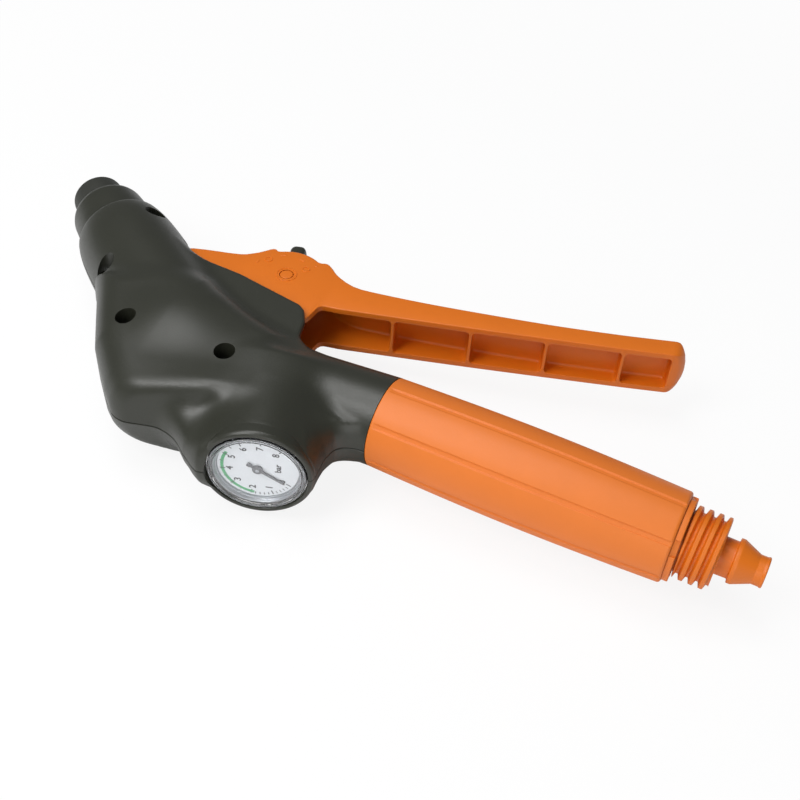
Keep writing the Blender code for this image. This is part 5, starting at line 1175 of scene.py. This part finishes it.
class INFLATOR_OT_lever(bpy.types.Operator):
    """Ribbed squeeze lever with the marks moulded round its catch"""

    bl_idname = "inflator.lever"
    bl_label = "Lever"

    def execute(self, context):
        lever = make("squeeze_lever", [lever_shell()], 40)
        pin = CATCH_PIVOT[:2]
        turn = np.linspace(*CATCH_SLOT_ANGLES, 9)
        slot = np.concatenate([plan_arc(pin, CATCH_SLOT_RADII[0], turn),
                               plan_arc(pin, CATCH_SLOT_RADII[1], turn[::-1])])
        hole = plan_arc(pin, PIN_HOLE_RADIUS, np.arange(0, 360, 10.0))
        carve(lever, [prism(slot, -CATCH_SLOT_HALF, CATCH_SLOT_HALF),
                      prism(hole, 10.9 * MM, 13 * MM)], 40)
        acetal = finish("orange_moulded_acetal")
        dress(lever, acetal, "lever", "lever_plastic", "lever")
        marks = [raised_ring(pin, 4.9 * MM, 4.3 * MM)]
        for x, y, kind in ((-94.1, 52.4, "bar"), (-90.5, 56.3, "ring"), (-86.0, 62.4, "bar"),
                           (-76.9, 63.4, "bar"), (-71.9, 58.5, "ring"), (-69.0, 62.8, "dot")):
            place = mm((x, y))[0]
            away = place - pin
            angle = math.atan2(away[1], away[0])
            if kind == "ring":
                marks.append(raised_ring(place, 1.9 * MM, 1.35 * MM))
            elif kind == "dot":
                marks.append(raised_bar(place, 1.5 * MM, 1.3 * MM, 0.0))
            else:
                marks.append(raised_bar(place, 3.0 * MM, 1.0 * MM, angle + math.pi / 2))
        dress(make("lever_marks", marks), acetal, "lever", "lever_plastic")
        top = lever_top(pin[0])
        head = fillet(np.array(((-top, 0.0), (-top, 2.6 * MM), (top - 0.3 * MM, 2.6 * MM),
                                (top - 0.3 * MM, 3.0 * MM), (top + 0.05 * MM, 2.9 * MM),
                                (top + 0.05 * MM, 0.0))), [0, 0.2, 0, 0, 0.25, 0])
        pin_shell = lathe(head, CATCH_PIVOT, UP, 48, closed=False)
        dress(make("catch_pivot_pin", [pin_shell]), acetal, "lever", "lever_plastic", "catch_pin")
        return {"FINISHED"}


CATCH_ANGLE = math.radians(108)      # way the tab points, from the grip's axis
TAB_WIDE = 4.1                       # half sizes of the tab, in millimetres
TAB_THICK = 8.2
TAB_SHOULDER = 25.3                  # where the tab's round tip begins
TAB_SQUARENESS = 0.45                # power of the sections: 1 is an ellipse, 0 a box


class INFLATOR_OT_catch(bpy.types.Operator):
    """Thumb catch that stands out of the lever's back"""

    bl_idname = "inflator.catch"
    bl_label = "Thumb catch"

    def execute(self, context):
        way = np.array((math.cos(CATCH_ANGLE), math.sin(CATCH_ANGLE), 0.0))
        across = np.array((-way[1], way[0], 0.0))
        # Tab: superellipse sections along its length, closing in a round tip.
        tip = np.radians(np.linspace(0, 89, 12))
        reach = np.concatenate([(-10.5, -9.8, -6.0, 0.0, 8.0, 16.0, 22.0),
                                TAB_SHOULDER + TAB_WIDE * np.sin(tip)])
        wide = np.concatenate([(1.2, 2.4, 3.2), [TAB_WIDE] * 4, TAB_WIDE * np.cos(tip)])
        thick = np.concatenate([(7.2, 8.0), [TAB_THICK] * 5,
                                TAB_THICK * np.sqrt(1 - 0.86 * np.linspace(0, 1, 12) ** 2)])
        turn = np.radians(np.arange(0, 360, 10.0))
        c = np.sign(np.cos(turn)) * np.abs(np.cos(turn)) ** TAB_SQUARENESS
        s = np.sign(np.sin(turn)) * np.abs(np.sin(turn)) ** TAB_SQUARENESS
        grid = (CATCH_PIVOT + reach[:, None, None] * MM * way
                + (wide[:, None] * c)[..., None] * MM * across
                + (thick[:, None] * s)[..., None] * MM * UP)
        profile = fillet(mm((-8.95, 3.2), (-8.95, 6.2), (8.95, 6.2), (8.95, 3.2)),
                         [0, 0.5, 0.5, 0], closed=True)
        shells = [tube(grid), lathe(profile, CATCH_PIVOT, UP, 36)]
        dress(make("thumb_catch", shells), finish("black_glass_filled_nylon"), "catch",
              "black_plastic", "lock_catch")
        return {"FINISHED"}


class INFLATOR_OT_inside(bpy.types.Operator):
    """Finishes of the valve, tubes, pins and screws that the frame already models"""

    bl_idname = "inflator.inside"
    bl_label = "Inner parts"

    def execute(self, context):
        for name, nodes in NODE_FINISHES.items():
            for node in nodes:
                for slot in frame["nodes"][node].material_slots:
                    slot.material = finish(name)
        return {"FINISHED"}


# ================================================================= stage
CAMERA_PLACE = np.array((0.1405, -0.3073, 0.3472))
CAMERA_RIGHT = (0.8931, 0.4470, 0.0517)
CAMERA_UP = (-0.3479, 0.6128, 0.7097)
CAMERA_BACK = (0.2855, -0.6517, 0.7027)
FOCAL_LENGTH = 51.99             # in millimetres, on a film 36 mm wide
FLOOR_HALF = 4.0
LAMPS = (
    # name, place, target, size, watts: two soft boxes over the part and one low in front
    ("key_softbox", (-0.38, -0.52, 0.88), (-0.02, 0.0, 0.0), 0.5, 6.0),
    ("overhead_softbox", (-0.28, 0.06, 1.15), (0.0, 0.0, 0.0), 0.6, 6.0),
    ("front_softbox", (0.45, -1.0, 0.42), (0.0, 0.0, 0.0), 0.7, 3.5),
)


def stage_surface(name):
    """Pale floor: plain diffuse for the light, and lifted to paper white for the camera."""
    material, tree = start_material(name)
    colour = linear(finishes().floor)
    place = add(tree, "ShaderNodeTexCoord")
    paper = add(tree, "ShaderNodeTexNoise", {"Vector": place.outputs["Object"], "Scale": 900.0})
    relief = add(tree, "ShaderNodeBump", {"Height": paper.outputs["Fac"], "Strength": 0.02,
                                          "Distance": 0.1 * MM})
    matt = add(tree, "ShaderNodeBsdfDiffuse", {"Color": colour,
                                               "Normal": relief.outputs["Normal"]})
    white = add(tree, "ShaderNodeEmission", {"Color": (1.0, 1.0, 1.0, 1.0), "Strength": 1.0})
    away = add(tree, "ShaderNodeVectorMath", {0: place.outputs["Object"]}, operation="LENGTH")
    lift = add(tree, "ShaderNodeMapRange", {"Value": away.outputs["Value"], "From Min": 0.3,
                                            "From Max": 0.8, "To Min": 0.88, "To Max": 1.0})
    rays = add(tree, "ShaderNodeLightPath")
    seen = add(tree, "ShaderNodeMath", {0: rays.outputs["Is Camera Ray"], 1: lift.outputs[0]},
               operation="MULTIPLY")
    both = add(tree, "ShaderNodeMixShader", {0: seen.outputs[0], 1: matt.outputs[0],
                                             2: white.outputs[0]})
    add(tree, "ShaderNodeOutputMaterial", {"Surface": both.outputs[0]})
    return material


class INFLATOR_OT_stage(bpy.types.Operator):
    """Pale floor, soft studio lamps, world light and the camera"""

    bl_idname = "inflator.stage"
    bl_label = "Stage"

    def execute(self, context):
        scene = context.scene
        scene.view_settings.view_transform = "Standard"
        mesh = bpy.data.meshes.new("studio_floor")
        mesh.from_pydata([(x * FLOOR_HALF, y * FLOOR_HALF, 0)
                          for x, y in ((-1, -1), (1, -1), (1, 1), (-1, 1))], [], [(0, 1, 2, 3)])
        floor = bpy.data.objects.new("studio_floor", mesh)
        scene.collection.objects.link(floor)
        floor.data.materials.append(stage_surface("white_paper_floor"))
        for name, place, target, size, power in LAMPS:
            lamp = bpy.data.lights.new(name, "AREA")
            lamp.shape = "SQUARE"
            lamp.size = size
            lamp.energy = power
            made = bpy.data.objects.new(name, lamp)
            scene.collection.objects.link(made)
            made.location = place
            aim = Vector(target) - Vector(place)
            made.rotation_euler = aim.to_track_quat("-Z", "Y").to_euler()
        world = bpy.data.worlds.new("studio_air")
        world.use_nodes = True
        scene.world = world
        tree = world.node_tree
        tree.nodes.clear()
        rays = add(tree, "ShaderNodeLightPath")
        seen = add(tree, "ShaderNodeMath", {0: rays.outputs["Is Camera Ray"],
                                            1: rays.outputs["Is Transmission Ray"]},
                   operation="MAXIMUM")
        light = add(tree, "ShaderNodeBackground", {"Color": (0.93, 0.96, 1.0, 1.0),
                                                   "Strength": 0.2})
        white = add(tree, "ShaderNodeBackground", {"Color": (1.0, 1.0, 1.0, 1.0),
                                                   "Strength": 1.0})
        both = add(tree, "ShaderNodeMixShader", {0: seen.outputs[0], 1: light.outputs[0],
                                                 2: white.outputs[0]})
        add(tree, "ShaderNodeOutputWorld", {"Surface": both.outputs[0]})
        lens = bpy.data.cameras.new("camera")
        lens.lens = FOCAL_LENGTH
        lens.sensor_width = 36.0
        lens.clip_start = 0.01
        camera = bpy.data.objects.new("camera", lens)
        scene.collection.objects.link(camera)
        turn = Matrix((CAMERA_RIGHT, CAMERA_UP, CAMERA_BACK)).transposed()
        camera.matrix_world = Matrix.Translation(CAMERA_PLACE + ORIGIN) @ turn.to_4x4()
        scene.camera = camera
        return {"FINISHED"}


# ================================================================= panel and start
class INFLATOR_PT_panel(bpy.types.Panel):
    """Sizes, finishes and pieces of the handpiece"""

    bl_label = "Inflator"
    bl_idname = "INFLATOR_PT_panel"
    bl_space_type = "VIEW_3D"
    bl_region_type = "UI"
    bl_category = "Inflator"

    def draw(self, context):
        for group in (context.scene.inflator_sizes, context.scene.inflator_finishes):
            column = self.layout.column()
            for name in group.__annotations__:
                column.prop(group, name)
        for operator in OPERATORS:
            self.layout.operator(operator.bl_idname)


OPERATORS = (INFLATOR_OT_stage, INFLATOR_OT_housing, INFLATOR_OT_outlet, INFLATOR_OT_grip,
             INFLATOR_OT_gauge, INFLATOR_OT_pointer, INFLATOR_OT_lever, INFLATOR_OT_catch,
             INFLATOR_OT_inside)
GROUPS = (InflatorSizes, InflatorFinishes)


def register():
    for cls in (*GROUPS, *OPERATORS, INFLATOR_PT_panel):
        bpy.utils.register_class(cls)
    bpy.types.Scene.inflator_sizes = bpy.props.PointerProperty(type=InflatorSizes)
    bpy.types.Scene.inflator_finishes = bpy.props.PointerProperty(type=InflatorFinishes)


def unregister():
    del bpy.types.Scene.inflator_sizes
    del bpy.types.Scene.inflator_finishes
    for cls in reversed((*GROUPS, *OPERATORS, INFLATOR_PT_panel)):
        bpy.utils.unregister_class(cls)


def main():
    """Build everything in order."""
    register()
    for operator in OPERATORS:
        group, name = operator.bl_idname.split(".")
        getattr(getattr(bpy.ops, group), name)()


if __name__ == "__main__":
    main()
